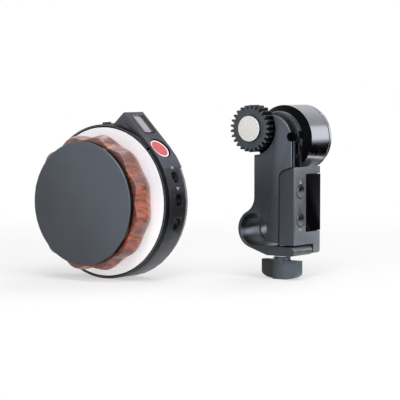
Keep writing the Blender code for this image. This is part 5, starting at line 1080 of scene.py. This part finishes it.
def on_neck_wall(at, normal):
    round_it = 10.5 < from_axis(at, motor) < 11.6 and at.z > motor.z
    return is_wall(normal) and round_it and depth_in(at) > BEHIND_FRONT


def on_neck_side(at, normal):
    return normal.x > 0.7 and at.x > motor.x + 9 * MM and depth_in(at) > BEHIND_FRONT


def on_collar(at, normal):
    return 12.0 < from_axis(at, motor) < 13.3 and 5.5 < depth_in(at) < 7.6 and normal.y < 0.5


# The pockets' walls and floors are painted black, as painted shade.
def in_pockets_painted_shade(at, normal):
    in_notch = from_axis(at, pin_notch) < NOTCH_RADIUS and depth_in(at) > 0.2
    in_recess = from_axis(at, gear) < RECESS_RADIUS and BEHIND_FRONT < depth_in(at) < 5.6
    return in_notch or (in_recess and from_axis(at, motor) < 12)


def in_bore(at, normal):
    return from_axis(at, bore) < BORE_RADIUS and is_wall(normal)


# The neck's wall is painted black as a painted dark reflection, with a painted highlight as a fine bright line
# along its front edge.
EDGE_HIGHLIGHT_DEPTH = 0.45 * MM
neck_painted_reflection, start = new_finish("neck_painted_reflection")
deep = measured(start, motor, (0, 1, 0))
painted_edge_highlight = mixed(deep.between(EDGE_HIGHLIGHT_DEPTH, EDGE_HIGHLIGHT_DEPTH + 0.1 * MM), tone(136, 146, 156), tone(8, 8, 11))
surfaced(start, {
    "Base Color": painted_edge_highlight,
    "Roughness": 0.2 + noise(here(start), DRIFT) * 0.08,
    "Specular IOR Level": 0.08,
})
body = from_solid("motor_body", 0.12 * MM)
painted(body, gunmetal, (neck_painted_reflection, on_neck_wall), (neck_painted_reflection, on_neck_side), (collar_painted_shade, on_collar),
        (bore_metal, in_bore), (matt_black, in_pockets_painted_shade))
print("body", len(body.data.polygons), "faces")

# %% [markdown]
# The jaw's knuckle, where it turns on its pin, is painted lighter than the jaw, and lighter still towards its
# top, as a painted highlight. The side cover is painted lighter on its side than on its front, and lighter
# towards its bottom, as painted light and shade. The thumbscrew is painted lighter to the right, as painted light
# from the studio's lamps.

# %% The jaw, the side cover and the thumbscrew
KNUCKLE_RADIUS = 3.6
# Painted highlight: the knuckle is lighter than the jaw, and lighter still towards its top.
knuckle_painted_light = coated("knuckle_painted_light", (120, 121, 124), (176, 177, 180), 0.32, 0.7, 0.002 * MM,
                       slope=(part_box("jaw_pin")[1], (0, 0, 1), -1, 2.5))


def on_knuckle(at, normal):
    return from_axis(at, middle("jaw_pin")) < KNUCKLE_RADIUS and is_wall(normal)


jaw = from_solid("clamp_jaw", 0.15 * MM)
painted(jaw, gunmetal, (bore_metal, in_bore), (knuckle_painted_light, on_knuckle))
side = from_solid("side_cover", 0.15 * MM)
# The cover's front faces take a darker copy of its grey, as painted shade.
cover_front_painted_shade = coated("cover_front_painted_shade", (58, 62, 68), (64, 68, 75), 0.42, 0.5, 0.004 * MM)
painted(side, cover_grey, (cover_front_painted_shade, lambda at, normal: normal.y < -0.5))
knob = from_solid("winged_knob", 0.3 * MM)
# Painted light: the thumbscrew grows lighter to the right.
knob_grey = coated("knob_grey", (40, 43, 46), (92, 103, 112), 0.34, 0.4, 0.003 * MM,
                   slope=(middle("winged_knob"), (1, 0, 0), -6, 6))
painted(knob, knob_grey)
status = from_solid("status_window", 0.1 * MM)
painted(status, glass_black)
print("jaw, cover and knob", sum(len(piece.data.polygons) for piece in (jaw, side, knob)), "faces")

# %% [markdown]
# The two keys on the side are turned from steel and dished. Light falls on such a dish as two soft cones
# that meet in its middle, because the tool's fine rings stretch each highlight across them.

# %% The motor unit's keys
side_key_outline = [(0, 12.92), (0.6, 12.94), (1.4, 13.02), (2.2, 13.16), (2.7, 13.3), (2.85, 13.3), (3.1, 13.05),
                    (3.1, 12.1), (1, 12.1), (1, 9), (0, 9)]
for name, height in SIDE_KEY_HEIGHTS.items():
    foot = motor + Vector((0, SIDE_KEY_DEEP, height)) * MM
    key = turned(name.replace("button", "key"), side_key_outline, foot, (1, 0, 0), (0, 1, 0), steps=72,
                 width=0.05 * MM)
    key_metal = turned_metal(name.replace("button", "steel"), (62, 65, 70), (150, 154, 160), 0.26, foot,
                             "X", pitch=0.35 * MM, depth=0.004 * MM)
    painted(key, key_metal)
    stand_in(key, name)
print("side keys turned")

# %% [markdown]
# The lens gear is moulded in black plastic, with a satin face and teeth that mesh with the ring on a lens. Its
# flanks are painted darker than its face, as painted shade. A silver disc with fine turned rings stands a little
# proud of it and covers its screw. The disc's side is painted dark, as painted shade.

# %% The lens gear and its disc
def is_front(at, normal):
    return normal.y < -0.7


gear_black = coated("gear_black", (58, 65, 71), (68, 75, 81), 0.5, 0.1, 0.003 * MM)
# The gear's flanks take a darker copy of its black, as painted shade.
gear_flank_painted_shade = coated("gear_flank_painted_shade", (20, 22, 24), (28, 30, 33), 0.4, 0.0, 0.002 * MM)
lens_gear = from_solid("lens_gear", 0.08 * MM)
painted(lens_gear, gear_flank_painted_shade, (gear_black, is_front))
disc_silver = turned_metal("disc_silver", (222, 221, 217), (238, 237, 233), 0.38, gear, "Y", 0.35,
                           pitch=0.9 * MM, depth=0.002 * MM)
# The silver disc's side is painted dark, as painted shade.
disc_side_painted_shade = coated("disc_side_painted_shade", (70, 72, 76), (84, 86, 90), 0.35, 0.5, 0.001 * MM)
low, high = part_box("gear_disc")
disc_radius = (high.x - low.x) / 2 / MM
disc_depth = (high.y - low.y) / MM
disc_outline = [(0, 0), (disc_radius - 0.1, 0), (disc_radius, 0.1), (disc_radius, disc_depth), (0, disc_depth)]
gear_cover = turned("gear_cover", disc_outline, gear, steps=96, width=0.03 * MM)
painted(gear_cover, disc_side_painted_shade, (disc_silver, is_front))
stand_in(gear_cover, "gear_disc")
print("gear", len(lens_gear.data.polygons), "faces")

# %% [markdown]
# The pieces inside are seen only when the part is opened, or from behind. Each still gets the finish of
# what it is made of: steel for shafts and screws, bronze for the sintered bushes, copper for the windings,
# green for the circuits, and a printed film for the battery.

# %% Finishes of the inner pieces
def dress(material, *names):
    """Gives solids that stay as they are a finish."""
    for name in names:
        nodes[name].data.materials.clear()
        nodes[name].data.materials.append(material)


STEEL = (168, 170, 174), (192, 194, 198), 0.3
dress(turned_metal("steel", *STEEL, motor, "Y", 0.9),
      "output_shaft", "gearhead", "rotor", "rotor_bearing", "transfer_gear", "gear_screw", "jaw_pin",
      "clamp_washer", "clamp_screw")
dress(turned_metal("wheel_steel", *STEEL, wheel, "Y", 0.9),
      "wheel_spindle", "grip_screw", "encoder_magnet", "spindle_bearing", "spindle_clip", "charging_socket",
      "mounting_insert")
dress(coated("bronze", (150, 106, 60), (172, 126, 76), 0.45, 0.8, 0.006 * MM),
      "output_bush", "pinion_bush")
dress(coated("copper", (168, 88, 52), (190, 106, 66), 0.35, 0.8, 0.02 * MM, 0.4 * MM),
      "stator")
dress(coated("circuit_green", (16, 66, 42), (24, 82, 54), 0.35, 0.0, 0.004 * MM, 0.8 * MM, coat=0.3),
      "display_board", "main_board", "motor_board", "key_circuit")
dress(coated("battery_film", (60, 104, 140), (68, 114, 150), 0.3, 0.0, 0.01 * MM, 3 * MM, coat=0.2),
      "wheel_battery")
dress(coated("black_plastic", (20, 20, 22), (28, 28, 30), 0.5, 0.0, 0.006 * MM, 0.25 * MM),
      "encoder_chip")
dress(coated("flap_rubber", (66, 68, 72), (78, 80, 84), 0.75, 0.0, 0.006 * MM, 0.3 * MM),
      "port_flap")
dress(coated("screw_black", (30, 31, 33), (44, 45, 48), 0.35, 0.6, 0.002 * MM),
      *(name for name in nodes if "_cover_screw_" in name or "_cap_screw_" in name))
dress(matt_black, "power_socket")
bare = [name for name, node in nodes.items() if not node.data.materials or node.data.materials[0] is None]
print("solids without a finish:", bare)
